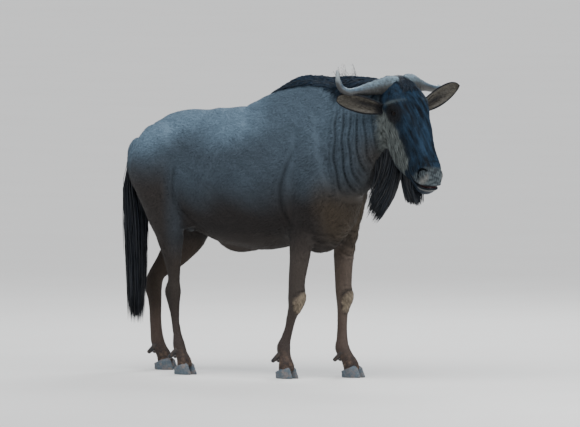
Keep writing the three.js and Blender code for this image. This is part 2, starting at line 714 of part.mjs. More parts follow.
// Sloping plane of the coronet, as the space above it
function aboveCoronet(foot, gap) {
  const slope = Math.atan2(CORONET.front - CORONET.heel, 2 * CORONET.reach);
  const height = 1000;
  const middle = (CORONET.front + CORONET.heel) / 2 + gap;
  const turn = new THREE.Matrix4().makeRotationZ(THREE.MathUtils.degToRad(foot.turn));
  turn.multiply(new THREE.Matrix4().makeRotationY(-slope));
  const matrix = turn.clone().setPosition(foot.x, foot.y, middle);
  matrix.multiply(new THREE.Matrix4().makeTranslation(0, 0, height / 2));
  return solidOfGeometry(new THREE.BoxGeometry(2 * height, height, height), matrix);
}

function dewclaw(name, side, grow) {
  const foot = FEET[name];
  const stations = limbs[name];
  const ankle = stations.at(-3).at;
  const root = new THREE.Vector3(ankle[0] - 12, foot.y + side * (DEWCLAW.apart - 3), DEWCLAW.z + 8);
  const tip = new THREE.Vector3(
    ankle[0] - DEWCLAW.back - 8,
    foot.y + side * (DEWCLAW.apart + 3),
    DEWCLAW.z - DEWCLAW.length * 0.62,
  );
  return sweep(
    [0, 0.45, 1].map((share) => ({
      at: root.clone().lerp(tip, share).toArray(),
      deep: DEWCLAW.radius * (1 - 0.42 * share),
      wide: DEWCLAW.radius * (1 - 0.3 * share),
    })),
    { sides: 7, steps: 1, grow, caps: [0.5, 0.8], capRings: [0.65] },
  );
}

// Flat tapered lock of hair along a curve through guide points from its sunk root to its tip
function lock(guides, across, { width, thick, bends = [0, 0.42, 0.78] }) {
  const path = new THREE.CatmullRomCurve3(guides);
  const rings = bends.map((share) => {
    const along = path.getTangent(share);
    const flat = across.clone().addScaledVector(along, -across.dot(along)).normalize();
    const up = new THREE.Vector3().crossVectors(along, flat);
    const taper = Math.sin(Math.PI * (0.3 + 0.62 * share)) ** 0.9;
    const middle = path.getPoint(share);
    return [
      middle.clone().addScaledVector(flat, (width / 2) * taper),
      middle.clone().addScaledVector(up, thick * taper),
      middle.clone().addScaledVector(flat, (-width / 2) * taper),
    ];
  });
  const root = path.getPoint(0).addScaledVector(path.getTangent(0), -2);
  return loft(rings, root, path.getPoint(1));
}

// Nodes
const model = new THREE.Group();

function addNode(name, solid, finish) {
  const mesh = largest(solid).getMesh();
  const geometry = new THREE.BufferGeometry();
  geometry.setAttribute("position", new THREE.BufferAttribute(mesh.vertProperties, mesh.numProp));
  geometry.setIndex(new THREE.BufferAttribute(mesh.triVerts, 1));
  geometry.computeVertexNormals();
  const node = new THREE.Mesh(geometry, new THREE.MeshStandardMaterial(finish));
  node.name = name;
  model.add(node);
}

const body = flesh(0);
const bodyGrown = flesh(GAP);
const head = skull(0);
const headGrown = skull(GAP);
const hornsGrown = [horn("right", GAP), horn("left", GAP)];
const clearOfHorns = (solid) => hornsGrown.reduce((rest, grown) => rest.subtract(grown), solid);

// Spaces that part the body: below the forelegs' cut, below the haunches' cut, ahead of the neck's
const forelegSpace = (gap) =>
  prism([[60, FORE_CUT + gap], [60, -50], [620, -50], [620, FORE_CUT + gap]]);
const hindlegSpace = (gap) =>
  prism([
    [HIND_CUT.front, HIND_CUT.low + gap],
    [HIND_CUT.back, HIND_CUT.high + gap],
    [HIND_CUT.back, -50],
    [HIND_CUT.front, -50],
  ]);
const neckSpace = (gap) =>
  prism([
    [NECK_CUT.top - gap, NECK_CUT.high],
    [NECK_CUT.foot - gap, NECK_CUT.low],
    [1400, NECK_CUT.low],
    [1400, NECK_CUT.high],
  ]);

addNode(
  "torso",
  body.subtract(forelegSpace(GAP)).subtract(hindlegSpace(GAP)).subtract(neckSpace(GAP)),
  SLATE,
);
addNode("neck", body.intersect(neckSpace(0)).subtract(headGrown), SLATE);

for (const [name, stations] of Object.entries(limbs)) {
  const foot = FEET[name];
  const space = name.startsWith("fore") ? forelegSpace(0) : hindlegSpace(0);
  let leg = sweep(stations, LIMB_FACETS)
    .intersect(space)
    .intersect(aboveCoronet(foot, GAP));
  for (const side of [-1, 1]) {
    leg = leg.subtract(dewclaw(name, side, GAP));
  }
  addNode(name, leg, LEG_BROWN);
  for (const side of [-1, 1]) {
    const inner = side * Math.sign(foot.y) < 0 ? "inner" : "outer";
    const place = name.replace("leg", "");
    addNode(`hoof_${place}_${inner}`, claw(foot, side, 0).subtract(aboveCoronet(foot, 0)), HOOF_GREY);
    addNode(`dewclaw_${place}_${inner}`, dewclaw(name, side, 0), HOOF_GREY);
  }
}

let face = head;
for (const side of [-1, 1]) {
  face = face
    .add(browRidge(side))
    .add(nostrilPad(side))
    .add(lipRidge(side, false))
    .add(lipRidge(side, true))
    .add(eyeball(side, EYE.radius + EYE.lid));
}
face = face.subtract(mouthGroove());
for (const side of [-1, 1]) {
  face = face
    .subtract(nostril(side))
    .subtract(lidOpening(side))
    .subtract(eyeball(side, EYE.radius + GAP));
}
addNode("head", face, FACE_BLACK);
addNode("eye_right", eyeball(-1, EYE.radius), EYE_DARK);
addNode("eye_left", eyeball(1, EYE.radius), EYE_DARK);
for (const name of ["right", "left"]) {
  addNode(`horn_${name}`, horn(name, 0).subtract(headGrown), HORN_GREY);
  addNode(`ear_${name}`, clearOfHorns(ear(name).subtract(headGrown)), EAR_TAN);
}

const fleshMesh = meshOf(body.add(head));

// Place on the near or far side of the crest of withers and neck
function besideCrest(x, y, drop, height) {
  const crest = surfacePoint(fleshMesh, new THREE.Vector3(x, 0, OVERHEAD), DOWN);
  if (drop === 0) {
    return surfacePoint(fleshMesh, new THREE.Vector3(x, y, OVERHEAD), DOWN).addScaledVector(UP, height);
  }
  const side = Math.sign(y);
  const from = new THREE.Vector3(x, side * BESIDE, crest.z - drop);
  return surfacePoint(fleshMesh, from, new THREE.Vector3(0, -side, 0), height);
}

const LONG_BENDS = [0, 0.34, 0.62, 0.85]; // rings along a long lock
const random = seeded(5);
const vary = (value, share) => value * (1 + share * (2 * random() - 1));

// Mane: a row that stands and leans back, and one that drapes down each side
const maneLocks = [];
for (let x = MANE.start; x <= MANE.end; x += MANE.spacing) {
  const grown = THREE.MathUtils.smoothstep(x, 100, 300);
  const long = THREE.MathUtils.smoothstep(x, 380, 620);
  const rise = vary(THREE.MathUtils.lerp(9, 38, grown), 0.1) - 16 * THREE.MathUtils.smoothstep(x, 600, 700);
  const back = vary(92, 0.12);
  const guide = (away, y, drop, height) => besideCrest(x - away, y, drop, height);
  maneLocks.push(
    lock([guide(-12, 0, 0, 0), guide(0.3 * back, 2, 0, 0.6 * rise), guide(back, -3, 0, rise)], UP, {
      width: Math.max(18, 0.9 * rise),
      thick: MANE.thick,
    }),
  );
  for (const side of [-1, 1]) {
    const drop = vary(16 + 10 * grown + 50 * long, 0.18);
    const offset = 0.5 * MANE.spacing * side;
    maneLocks.push(
      lock(
        [
          guide(offset - 6, 8 * side, 0, 2),
          guide(offset + 0.3 * back, 20 * side, 0.3 * drop, 13 + 3 * grown),
          guide(offset + (0.62 + 0.2 * long) * back, 30 * side, drop, 6 + 3 * random()),
        ],
        new THREE.Vector3(1, 0, 0.8),
        MANE,
      ),
    );
  }
}
const maneCore = Array.from({ length: 8 }, (_, i) => ({
  at: besideCrest(THREE.MathUtils.lerp(MANE.start - 8, MANE.end, i / 7), 0, 0, -3).toArray(),
  deep: MANE.core,
  wide: MANE.core,
}));

// Throat beard: locks that hang from under the neck, longest at the front and back of the group
const throatLine = spine(NECK);
const throatLocks = [];
const throatCore = [];
for (let row = 0; row < THROAT.rows; row += 1) {
  const share = row / (THROAT.rows - 1);
  const t = THREE.MathUtils.lerp(THROAT.low, THROAT.high, share);
  const root = sweptPoint(throatLine, t, -Math.PI / 2);
  throatCore.push({ at: root.clone().addScaledVector(UP, 8).toArray(), deep: THROAT.core, wide: 30 });
  THROAT.spread.forEach((y, column) => {
    const length = vary(THREE.MathUtils.lerp(262, 276, share), 0.08) + (column === 1 ? 26 : 0);
    const swept = THREE.MathUtils.lerp(-42, -92, share);
    const start = root.clone().add(new THREE.Vector3(0, y, 14 - 0.012 * y * y));
    start.x += 16 * (random() - 0.5);
    const hang = (down, forward) =>
      start.clone().add(new THREE.Vector3(forward, -0.25 * y * (down / length), -down));
    throatLocks.push(
      lock([start, hang(0.45 * length, 4), hang(length, swept)], new THREE.Vector3(1, 0.25, 0), {
        width: vary(THROAT.width, 0.15),
        thick: THROAT.thick,
        bends: LONG_BENDS,
      }),
    );
  });
}

// Jaw beard: shorter locks that fall forward under the chin
const jawLocks = [];
const jawCore = [];
for (let row = 0; row < JAW.rows; row += 1) {
  const down = THREE.MathUtils.lerp(JAW.low, JAW.high, row / (JAW.rows - 1));
  const below = surfacePoint(headMesh, onHead(down, 0, -BESIDE), faceOut);
  jawCore.push({ at: below.toArray(), deep: JAW.core, wide: 26 });
  for (const side of JAW.spread) {
    const start = surfacePoint(headMesh, onHead(down + 8 * random(), side, -BESIDE), faceOut, -6);
    const length = vary(THREE.MathUtils.lerp(136, 88, row / (JAW.rows - 1)), 0.12);
    const hang = (share, forward) =>
      start.clone().addScaledVector(ahead, forward).addScaledVector(DOWN, share * length);
    jawLocks.push(
      lock([start, hang(0.45, 10), hang(1, vary(28, 0.3))], ahead, {
        width: vary(JAW.width, 0.15),
        thick: JAW.thick,
      }),
    );
  }
}

// Tail: locks that leave the dock on all sides in turn, the upper ones outside the lower
const dockLine = spine(DOCK);
const GOLDEN_TURN = Math.PI * (3 - Math.sqrt(5));
const tailLocks = [];
for (let i = 0; i < TAIL.locks; i += 1) {
  const share = i / (TAIL.locks - 1);
  const angle = i * GOLDEN_TURN;
  const z = THREE.MathUtils.lerp(TAIL.top, TAIL.low, share);
  const t = THREE.MathUtils.mapLinear(z, DOCK[2].at[2], DOCK.at(-1).at[2], 0.4, 1);
  const start = dockLine.path.getPoint(t);
  const reach = THREE.MathUtils.lerp(70, 46, share);
  const foot = Math.max(TAIL.foot + 80 * random() ** 2, z - vary(400, 0.1));
  const hang = (part, spread) =>
    new THREE.Vector3(
      THREE.MathUtils.lerp(start.x, TAIL.middle, Math.min(1, 1.6 * part)) + spread * Math.cos(angle),
      0.66 * spread * Math.sin(angle),
      THREE.MathUtils.lerp(z, foot, part),
    );
  tailLocks.push(
    lock(
      [hang(0, 8), hang(0.42, 0.9 * reach), hang(1, vary(0.86, 0.2) * reach)],
      new THREE.Vector3(-Math.sin(angle), Math.cos(angle), 0),
      { width: vary(TAIL.width, 0.15), thick: TAIL.thick, bends: LONG_BENDS },
    ),
  );
}

// Forelock: short locks between the horns, falling forward and back over the poll
const forelockLocks = [];
for (let row = 0; row < FORELOCK.rows; row += 1) {
  for (const side of FORELOCK.spread) {
    const down = 26 * row - 14;
    const start = onHead(down, side, 22 + 0.3 * down);
    const length = vary(46, 0.2);
    const fall = (share, out) =>
      start.clone().addScaledVector(faceDown, share * length).addScaledVector(faceOut, out);
    forelockLocks.push(
      lock([start, fall(0.4, 16 + 4 * random()), fall(1.1, 9)], leftward, FORELOCK),
    );
  }
}
const forelockCore = [-26, 0, 26].map((down) => ({
  down,
  side: 0,
  out: 22 + 0.4 * down,
  deep: FORELOCK.core,
  wide: 20,
}));

const hairCore = (stations) => sweep(stations, { sides: 6, steps: 1, capRings: [] });
const dock = sweep(DOCK, { sides: 8, steps: 1, capRings: [0.65] });
addNode("tail", joined([dock, ...tailLocks]).subtract(bodyGrown), HAIR_BLACK);
addNode(
  "mane",
  clearOfHorns(joined([hairCore(maneCore), ...maneLocks]).subtract(bodyGrown).subtract(headGrown)),
  HAIR_BLACK,
);
addNode(
  "beard_throat",
  joined([hairCore(throatCore), ...throatLocks]).subtract(bodyGrown).subtract(headGrown),
  HAIR_BLACK,
);
addNode("beard_jaw", joined([hairCore(jawCore), ...jawLocks]).subtract(headGrown), HAIR_BLACK);
addNode(
  "forelock",
  clearOfHorns(joined([headSweep(forelockCore), ...forelockLocks]).subtract(headGrown)),
  HAIR_BLACK,
);

// The origin is on the floor, in the middle of the animal's length and width
const extent = new THREE.Box3().setFromObject(model);
const middle = extent.getCenter(new THREE.Vector3());
model.position.set(-middle.x, -middle.y, 0);

export default model;
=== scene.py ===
"""Looks of a standing wildebeest bull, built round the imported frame.

The body is one smooth skin made from the same stations as the solids. Coat tufts, mane, beards, forelock and
tail are joined meshes of tapered locks that follow the lie of the hair. Sizes are in millimetres, in the
animal's own axes: +X toward the head, +Y to its left, +Z up. They turn into metres of the frame when a mesh
is made.
"""

import logging
import math
from dataclasses import dataclass, field
from enum import Enum
from typing import Callable, Iterable, Optional, Sequence

import bmesh
import bpy
import numpy as np
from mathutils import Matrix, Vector
from mathutils.bvhtree import BVHTree


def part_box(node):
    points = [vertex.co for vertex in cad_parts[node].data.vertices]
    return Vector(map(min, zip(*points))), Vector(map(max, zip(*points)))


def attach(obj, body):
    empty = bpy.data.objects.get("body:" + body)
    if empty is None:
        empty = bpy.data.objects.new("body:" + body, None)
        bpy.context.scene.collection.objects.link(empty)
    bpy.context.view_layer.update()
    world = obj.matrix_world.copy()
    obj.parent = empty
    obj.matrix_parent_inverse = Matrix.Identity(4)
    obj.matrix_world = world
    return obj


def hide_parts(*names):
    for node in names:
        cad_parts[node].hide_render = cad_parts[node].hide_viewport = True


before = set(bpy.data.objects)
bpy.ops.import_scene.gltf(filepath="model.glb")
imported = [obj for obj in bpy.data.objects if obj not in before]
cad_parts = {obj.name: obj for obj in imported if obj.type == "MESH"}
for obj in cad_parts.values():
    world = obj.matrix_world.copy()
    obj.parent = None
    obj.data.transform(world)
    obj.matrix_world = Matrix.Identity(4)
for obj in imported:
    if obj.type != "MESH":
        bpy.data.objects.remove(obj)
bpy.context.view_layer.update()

Array = np.ndarray
Triple = tuple[float, float, float]
Rows = tuple[tuple[float, ...], ...]
Node = bpy.types.Node
Socket = bpy.types.NodeSocket
Material = bpy.types.Material
LOG = logging.getLogger("wildebeest")

UP = np.array([0.0, 0.0, 1.0])
DOWN = -UP
ACROSS = np.array([0.0, 1.0, 0.0])
FULL_TURN = 2 * np.pi
MM = 0.001
BAKE_MAP = "OFBake"
TINT = "tint"
GLOSS = "gloss"
PATCH = 0.003  # width on the bake map of one tuft or lock
FORE_SPREAD = 120.0  # half the distance between the forefeet
HIND_SPREAD = 130.0  # half the distance between the hind feet
COAT_DEPTH = 3.5  # how far the skin lies inside the coat's surface
THIN_COAT = 2.5  # the same on the head and the legs
LEG_TOP = 560.0  # height where the legs leave the body
MUZZLE_X = 850.0  # X that only the muzzle lies beyond


class Side(Enum):
    """Side of the animal, as the sign of its Y."""

    RIGHT = -1
    LEFT = 1

    @property
    def label(self) -> str:
        """Lower-case name as the frame's nodes use it."""
        return self.name.lower()


# Small vector and curve tools


def unit(vectors: Array) -> Array:
    """Scales vectors along the last axis to length one."""
    return vectors / np.maximum(np.linalg.norm(vectors, axis=-1, keepdims=True), 1e-9)


def rises(values: Array, low: float, high: float) -> Array:
    """Eases from 0 at low to 1 at high."""
    t = np.clip((values - low) / (high - low), 0.0, 1.0)
    return t * t * (3.0 - 2.0 * t)


def falls(values: Array, low: float, high: float) -> Array:
    """Eases from 1 at low to 0 at high."""
    return rises(-values, -high, -low)


def bump(values: Array, middle: float, reach: float) -> Array:
    """Bell of height one round a middle."""
    return np.exp(-(((values - middle) / reach) ** 2))


def circle(count: int) -> Array:
    """Angles evenly spaced round a full turn."""
    return np.linspace(0, FULL_TURN, count, endpoint=False)


def to_clump(values: Array, size: float) -> Array:
    """How far each value lies from the middle of its clump."""
    return (np.floor(values / size) + 0.5) * size - values


def folded(values: Array, seed: int, scale: float) -> Array:
    """Smooth repeatable unevenness from -1 to 1 of places, made of a few waves.

    Args:
        values: Places in millimetres.
        seed: Which unevenness.
        scale: Rough length of one swell in millimetres.

    Returns:
        One value a place.
    """
    random = np.random.default_rng(seed)
    total = np.zeros(len(values))
    for _ in range(7):
        direction = unit(random.normal(size=3)) * random.uniform(0.6, 1.6) * FULL_TURN / scale
        total += np.sin(values @ direction + random.uniform(0, FULL_TURN))
    return total / 3.2


def curve(points: Array, shares: Array, closed: bool = False) -> Array:
    """Evaluates a smooth centripetal curve through points.

    Args:
        points: Guide points, one a row.
        shares: Places from 0 to 1, evenly spaced over the guide points.
        closed: Whether the last point leads back to the first.

    Returns:
        One row for each share.
    """
    count = len(points)
    if closed:
        padded = np.concatenate([points[-1:], points, points[:2]])
        place = np.asarray(shares) * count
    else:
        padded = np.concatenate([2 * points[:1] - points[1:2], points, 2 * points[-1:] - points[-2:-1]])
        place = np.asarray(shares) * (count - 1)
    index = np.clip(np.floor(place).astype(int), 0, count - 1 if closed else count - 2)
    t = (place - index)[:, None]
    a, b, c, d = (padded[index + k] for k in range(4))
    spans = (np.linalg.norm(q - p, axis=1, keepdims=True) for p, q in ((a, b), (b, c), (c, d)))
    before, here, after = (np.maximum(span, 1e-8) ** 0.5 for span in spans)
    start = ((b - a) / before - (c - a) / (before + here) + (c - b) / here) * here
    end = ((c - b) / here - (d - b) / (here + after) + (d - c) / after) * here
    square = -3 * b + 3 * c - 2 * start - end
    cube = 2 * b - 2 * c + start + end
    return b + start * t + square * t**2 + cube * t**3


def curve_each(guides: Array, shares: Array) -> Array:
    """Smooth curves through the guide points of many locks at once.

    Args:
        guides: Guide points, as (lock, point, 3).
        shares: Places from 0 to 1.

    Returns:
        Points, as (lock, share, 3).
    """
    count = guides.shape[1]
    first = 2 * guides[:, :1] - guides[:, 1:2]
    last = 2 * guides[:, -1:] - guides[:, -2:-1]
    padded = np.concatenate([first, guides, last], 1)
    place = shares * (count - 1)
    index = np.clip(np.floor(place).astype(int), 0, count - 2)
    t = (place - index)[None, :, None]
    a, b, c, d = (padded[:, index + k] for k in range(4))
    return 0.5 * (2 * b + (c - a) * t + (2 * a - 5 * b + 4 * c - d) * t**2 + (3 * b - a - 3 * c + d) * t**3)


@dataclass
class Surface:
    """Points and faces of a mesh in millimetres.

    Args:
        points: Vertex positions, one a row.
        quads: Four-sided faces.
        triangles: Three-sided faces.
    """

    points: Array
    quads: Array = field(default_factory=lambda: np.zeros((0, 4), int))
    triangles: Array = field(default_factory=lambda: np.zeros((0, 3), int))

    @staticmethod
    def joined(parts: Sequence["Surface"]) -> "Surface":
        """Puts several surfaces into one, unwelded."""
        offsets = np.cumsum([0] + [len(p.points) for p in parts[:-1]])
        return Surface(
            np.concatenate([p.points for p in parts]),
            np.concatenate([p.quads + o for p, o in zip(parts, offsets)]),
            np.concatenate([p.triangles + o for p, o in zip(parts, offsets)]),
        )

    @staticmethod
    def from_rings(rings: Array, start: Array, end: Array) -> "Surface":
        """Closes a stack of rings with a point at each end.

        Args:
            rings: Ring points, as (ring, side, 3).
            start: Point beyond the first ring.
            end: Point beyond the last ring.

        Returns:
            The closed surface.
        """
        count, sides = rings.shape[:2]
        points = np.concatenate([rings.reshape(-1, 3), start[None], end[None]])
        ring = np.arange(sides)
        after = np.roll(ring, -1)
        below = np.arange(count - 1)[:, None] * sides
        near, turned = below + ring, below + after
        quads = np.stack([near, turned, turned + sides, near + sides], -1).reshape(-1, 4)
        last, tip = (count - 1) * sides, np.full(sides, count * sides)
        caps = [np.stack([tip, after, ring], -1), np.stack([tip + 1, last + ring, last + after], -1)]
        return Surface(points, quads, np.concatenate(caps))

    def edges(self) -> Array:
        """Pairs of neighbouring vertices, each pair once.

        Returns:
            One pair a row.
        """
        pairs = [self.quads[:, [k, (k + 1) % 4]] for k in range(4)]
        pairs += [self.triangles[:, [k, (k + 1) % 3]] for k in range(3)]
        return np.unique(np.sort(np.concatenate(pairs), 1), axis=0)

    def normals(self) -> Array:
        """Outward direction at each vertex.

        Returns:
            One direction a row.
        """
        total = np.zeros_like(self.points)
        for faces in (self.quads, self.triangles):
            corner = self.points[faces]
            across = np.cross(corner[:, 2] - corner[:, 0], corner[:, -1] - corner[:, 1])
            for k in range(faces.shape[1]):
                for axis in range(3):
                    total[:, axis] += np.bincount(faces[:, k], across[:, axis], len(total))
        return unit(total)

    def relax(self, passes: int, weight: Array) -> None:
        """Smooths the surface in place without shrinking it.

        Args:
            passes: Pairs of passes, one in and one out.
            weight: How much of it each vertex takes.
        """
        a, b = self.edges().T
        count = len(self.points)
        degree = np.bincount(a, minlength=count) + np.bincount(b, minlength=count)
        for share in (0.5, -0.515) * passes:
            sums = [
                np.bincount(a, self.points[b, k], count) + np.bincount(b, self.points[a, k], count)
                for k in range(3)
            ]
            middle = np.stack(sums, 1) / degree[:, None]
            self.points += (middle - self.points) * (share * weight)[:, None]


@dataclass(frozen=True)
class Sweep:
    """A tube through stations, as the solids have it but finer.

    Args:
        stations: Rows of x, y, z, half depth, half width and egg shape.
        across: Direction that the width lies along.
        caps: How far the ends are rounded, as shares of their size.
    """

    stations: Array
    across: Array = field(default_factory=lambda: ACROSS)
    caps: tuple[float, float] = (0.5, 0.5)

    def section(self, shares: Array) -> tuple[Array, Array, Array, Array, Array]:
        """Centre, axes and size at places along the tube.

        Args:
            shares: Places from 0 to 1.

        Returns:
            Centres, directions along, across and up, and rows of depth, width and egg.
        """
        path = self.stations[:, :3]
        ahead = curve(path, np.clip(shares + 1e-4, 0, 1))
        behind = curve(path, np.clip(shares - 1e-4, 0, 1))
        along = unit(ahead - behind)
        side = unit(self.across - along * (along @ self.across)[:, None])
        return curve(path, shares), along, side, np.cross(along, side), curve(self.stations[:, 3:6], shares)

    def points(
        self, shares: Array, angles: Array, grow: float = 0.0, scale: Array = 1.0, shift: Array = 0.0
    ) -> Array:
        """Points of the tube's surface, where angle 0 is the side and a quarter turn the top.

        Args:
            shares: Places along the tube.
            angles: Angle at each place, or a row of them for each.
            grow: Thickness added all round.
            scale: Size factor at each place.
            shift: Distance moved along the tube at each place.

        Returns:
            Surface points.
        """
        centre, along, side, up, size = self.section(shares)
        angles = np.broadcast_to(angles, (len(shares), np.shape(angles)[-1]))
        scale = np.broadcast_to(scale, len(shares))[:, None, None]
        shift = np.broadcast_to(shift, len(shares))[:, None, None]
        rise = np.sin(angles)[..., None]
        reach = np.cos(angles)[..., None] * (1 - size[:, None, 2:3] * rise)
        wide = side[:, None] * reach * (size[:, None, 1:2] + grow) * scale
        tall = up[:, None] * rise * (size[:, None, 0:1] + grow) * scale
        return centre[:, None] + wide + tall + along[:, None] * shift

    def surface(self, sides: int, steps: int, grow: float = 0.0) -> Surface:
        """Closed surface of the tube with round ends.

        Args:
            sides: Points round it.
            steps: Rings from one station to the next.
            grow: Thickness added all round.

        Returns:
            The surface.
        """
        count = (len(self.stations) - 1) * steps
        lifts = np.array([0.97, 0.87, 0.7, 0.5, 0.25])
        ends = self.stations[[0, -1], 3:5].min(1) * np.array(self.caps) + grow
        lean = np.sqrt(1 - lifts**2)
        shares = np.concatenate([0 * lifts, np.linspace(0, 1, count + 1), 1 + 0 * lifts])
        scale = np.concatenate([lean, np.ones(count + 1), lean[::-1]])
        shift = np.concatenate([-ends[0] * lifts, np.zeros(count + 1), ends[1] * lifts[::-1]])
        rings = self.points(shares, circle(sides), grow, scale, shift)
        centre, along, *_ = self.section(np.array([0.0, 1.0]))
        return Surface.from_rings(rings, centre[0] - along[0] * ends[0], centre[1] + along[1] * ends[1])


def stations(rows: Iterable[Sequence[float]]) -> Array:
    """Station rows as an array, with no egg shape where none is given."""
    return np.array([list(row) + [0.0] * (6 - len(row)) for row in rows], float)


def ball(centre: Array, axes: Array, radii: Sequence[float], sides: int = 32) -> Surface:
    """Ellipsoid on its own axes.

    Args:
        centre: Middle point.
        axes: Three rows of directions.
        radii: Half sizes along them.
        sides: Points round it.

    Returns:
        The closed surface.
    """
    rise = np.linspace(-np.pi / 2, np.pi / 2, sides // 2 + 1)[1:-1, None]
    turn = circle(sides)[None]
    flat = np.stack([np.cos(rise) * np.cos(turn), np.cos(rise) * np.sin(turn), np.sin(rise) + 0 * turn], -1)
    scaled = axes * np.array(radii)[:, None]
    return Surface.from_rings(centre + flat @ scaled, centre - scaled[2], centre + scaled[2])


@dataclass
class Skull:
    """Pose and sizes of the head, measured from the poll.

    The head's own axes run down the face, out to its left side and forward out of the face.
    """

    poll: Triple = (776.0, 0.0, 1380.0)
    yaw_deg: float = -19.5
    tilt_deg: float = 30.0
    rings: Rows = (
        (-34, 8, -118, 42, 62, 46),
        (0, 32, -160, 62, 84, 60),
        (60, 52, -188, 82, 100, 72),
        (112, 62, -206, 94, 104, 76),
        (160, 66, -216, 86, 97, 73),
        (220, 65, -217, 74, 88, 66),
        (290, 60, -211, 62, 76, 56),
        (350, 54, -192, 53, 65, 50),
        (405, 51, -160, 50, 59, 45),
        (452, 50, -130, 51, 58, 42),
        (492, 40, -112, 51, 60, 44),
        (524, 19, -98, 42, 51, 39),
        (546, -12, -76, 22, 32, 25),
    )  # down, out of face and jaw, half widths of brow, cheek and chin
    eye: Triple = (156.0, 74.0, -6.0)  # down, side, out
    eye_radius: float = 20.5
    eye_bulge: float = 2.0
    lid: float = 3.0
    opening: tuple[float, float] = (20.0, 13.0)  # half length and half height between the lids
    opening_turn_deg: float = 32.0
    gland: tuple[float, float] = (214.0, 12.0)  # down and out
    brow_fold: float = 104.0  # down
    nostril: tuple[float, float] = (488.0, 4.0)  # down and out
    nostril_turn: float = 31.0
    nostril_pad: float = 26.0
    mouth: Rows = ((436, -84), (490, -76), (550, -12))  # down and out

    def __post_init__(self) -> None:
        """Works out the head's axes from its yaw and tilt."""
        yaw, tilt = math.radians(self.yaw_deg), math.radians(self.tilt_deg)
        self.origin = np.array(self.poll)
        self.ahead = np.array([math.cos(yaw), math.sin(yaw), 0.0])
        self.left = np.array([-math.sin(yaw), math.cos(yaw), 0.0])
        self.down = self.ahead * math.sin(tilt) + DOWN * math.cos(tilt)
        self.out = unit(np.cross(self.down, self.left))
        self.axes = np.stack([self.down, self.left, self.out])

    def at(self, down: float, side: float, out: float) -> Array:
        """Place given in the head's own axes."""
        return self.origin + np.array([down, side, out]) @ self.axes

    def local(self, points: Array) -> Array:
        """Down, side and out of places."""
        return (points - self.origin) @ self.axes.T

    def from_poll(self, side: float, forward: float, up: float) -> Array:
        """Place given sideways, forward and up from the poll."""
        return self.origin + side * self.left + forward * self.ahead + up * UP

    def covers(self, points: Array, start: float = 740.0, top: float = -30.0, half: float = 125.0) -> Array:
        """Tells which places lie on the head.

        Args:
            points: Places in millimetres.
            start: X that they lie beyond.
            top: Down that they lie beyond.
            half: Half width that they lie within.

        Returns:
            One truth a place.
        """
        down, side, _ = self.local(points).T
        return (points[:, 0] > start) & (down > top) & (np.abs(side) < half)

    def outline(self, row: Array, shares: Array, grow: float) -> Array:
        """Closed outline of the head across one ring.

        Args:
            row: Down, face, jaw, brow, cheek and chin.
            shares: Places round it, from the face's middle.
            grow: Thickness added all round.

        Returns:
            Points of the ring.
        """
        down, face, jaw, brow, cheek, chin = row
        deep = face - jaw
        half = [
            (0, face + grow),
            (0.6 * brow, face - 0.01 * deep + grow),
            (brow + grow, face - 0.1 * deep),
            (cheek + grow, face - 0.42 * deep),
            (chin + grow, face - 0.8 * deep),
            (0.55 * chin, jaw + 0.03 * deep - grow),
            (0, jaw - grow),
        ]
        round_it = half + [(-side, out) for side, out in half[-2:0:-1]]
        flat = curve(np.array([(side, out, 0.0) for side, out in round_it]), shares, closed=True)
        return np.stack([self.at(down, side, out) for side, out, _ in flat])

    def surface(self, sides: int, steps: int, grow: float = 0.0) -> Surface:
        """Closed surface of the bare head.

        Args:
            sides: Points round it.
            steps: Rings from one station to the next.
            grow: Thickness added all round.

        Returns:
            The surface.
        """
        table = np.array(self.rings)
        dense = curve(table, np.linspace(0, 1, (len(table) - 1) * steps + 1))
        shares = np.linspace(0, 1, sides, endpoint=False)
        rings = np.stack([self.outline(row, shares, grow) for row in dense])
        first, last = dense[0], dense[-1]
        poll = self.at(first[0] - 14 - grow, 0, (first[1] + first[2]) / 2)
        return Surface.from_rings(rings, poll, self.at(last[0] + 8 + grow, 0, (last[1] + last[2]) / 2))

    def half_width(self, down: float, out: float) -> float:
        """Roughly how far the head reaches sideways at a place seen from its side.

        Args:
            down: Down of the place.
            out: Out of the place.

        Returns:
            Half width in millimetres.
        """
        table = np.array(self.rings)
        face, jaw, brow, cheek, chin = (np.interp(down, table[:, 0], table[:, k]) for k in range(1, 6))
        share = (face - out) / max(face - jaw, 1.0)
        widths = [0.6 * brow, brow, cheek, chin, 0.3 * chin]
        return float(np.interp(share, [0.0, 0.1, 0.42, 0.8, 1.0], widths))

    def eye_centre(self, side: Side) -> Array:
        """Middle of an eyeball."""
        down, reach, out = self.eye
        return self.at(down, side.value * reach, out)

    def mouth_line(self, shares: Array) -> Array:
        """Down and out of the mouth's line from its corner to its front.

        Args:
            shares: Places along it, from 0 to 1.

        Returns:
            One row a place.
        """
        a, b, c = (np.array(p, float) for p in self.mouth)
        t = np.asarray(shares)[:, None]
        return a * (1 - t) ** 2 + 2 * b * t * (1 - t) + c * t**2


SKULL = Skull()


def shift_to_frame() -> Array:
    """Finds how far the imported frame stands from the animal's own axes, in metres."""
    low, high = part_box("eye_right")
    return (np.array(low) + np.array(high)) / 2 - SKULL.eye_centre(Side.RIGHT) * MM


SHIFT = shift_to_frame()


# Making Blender objects


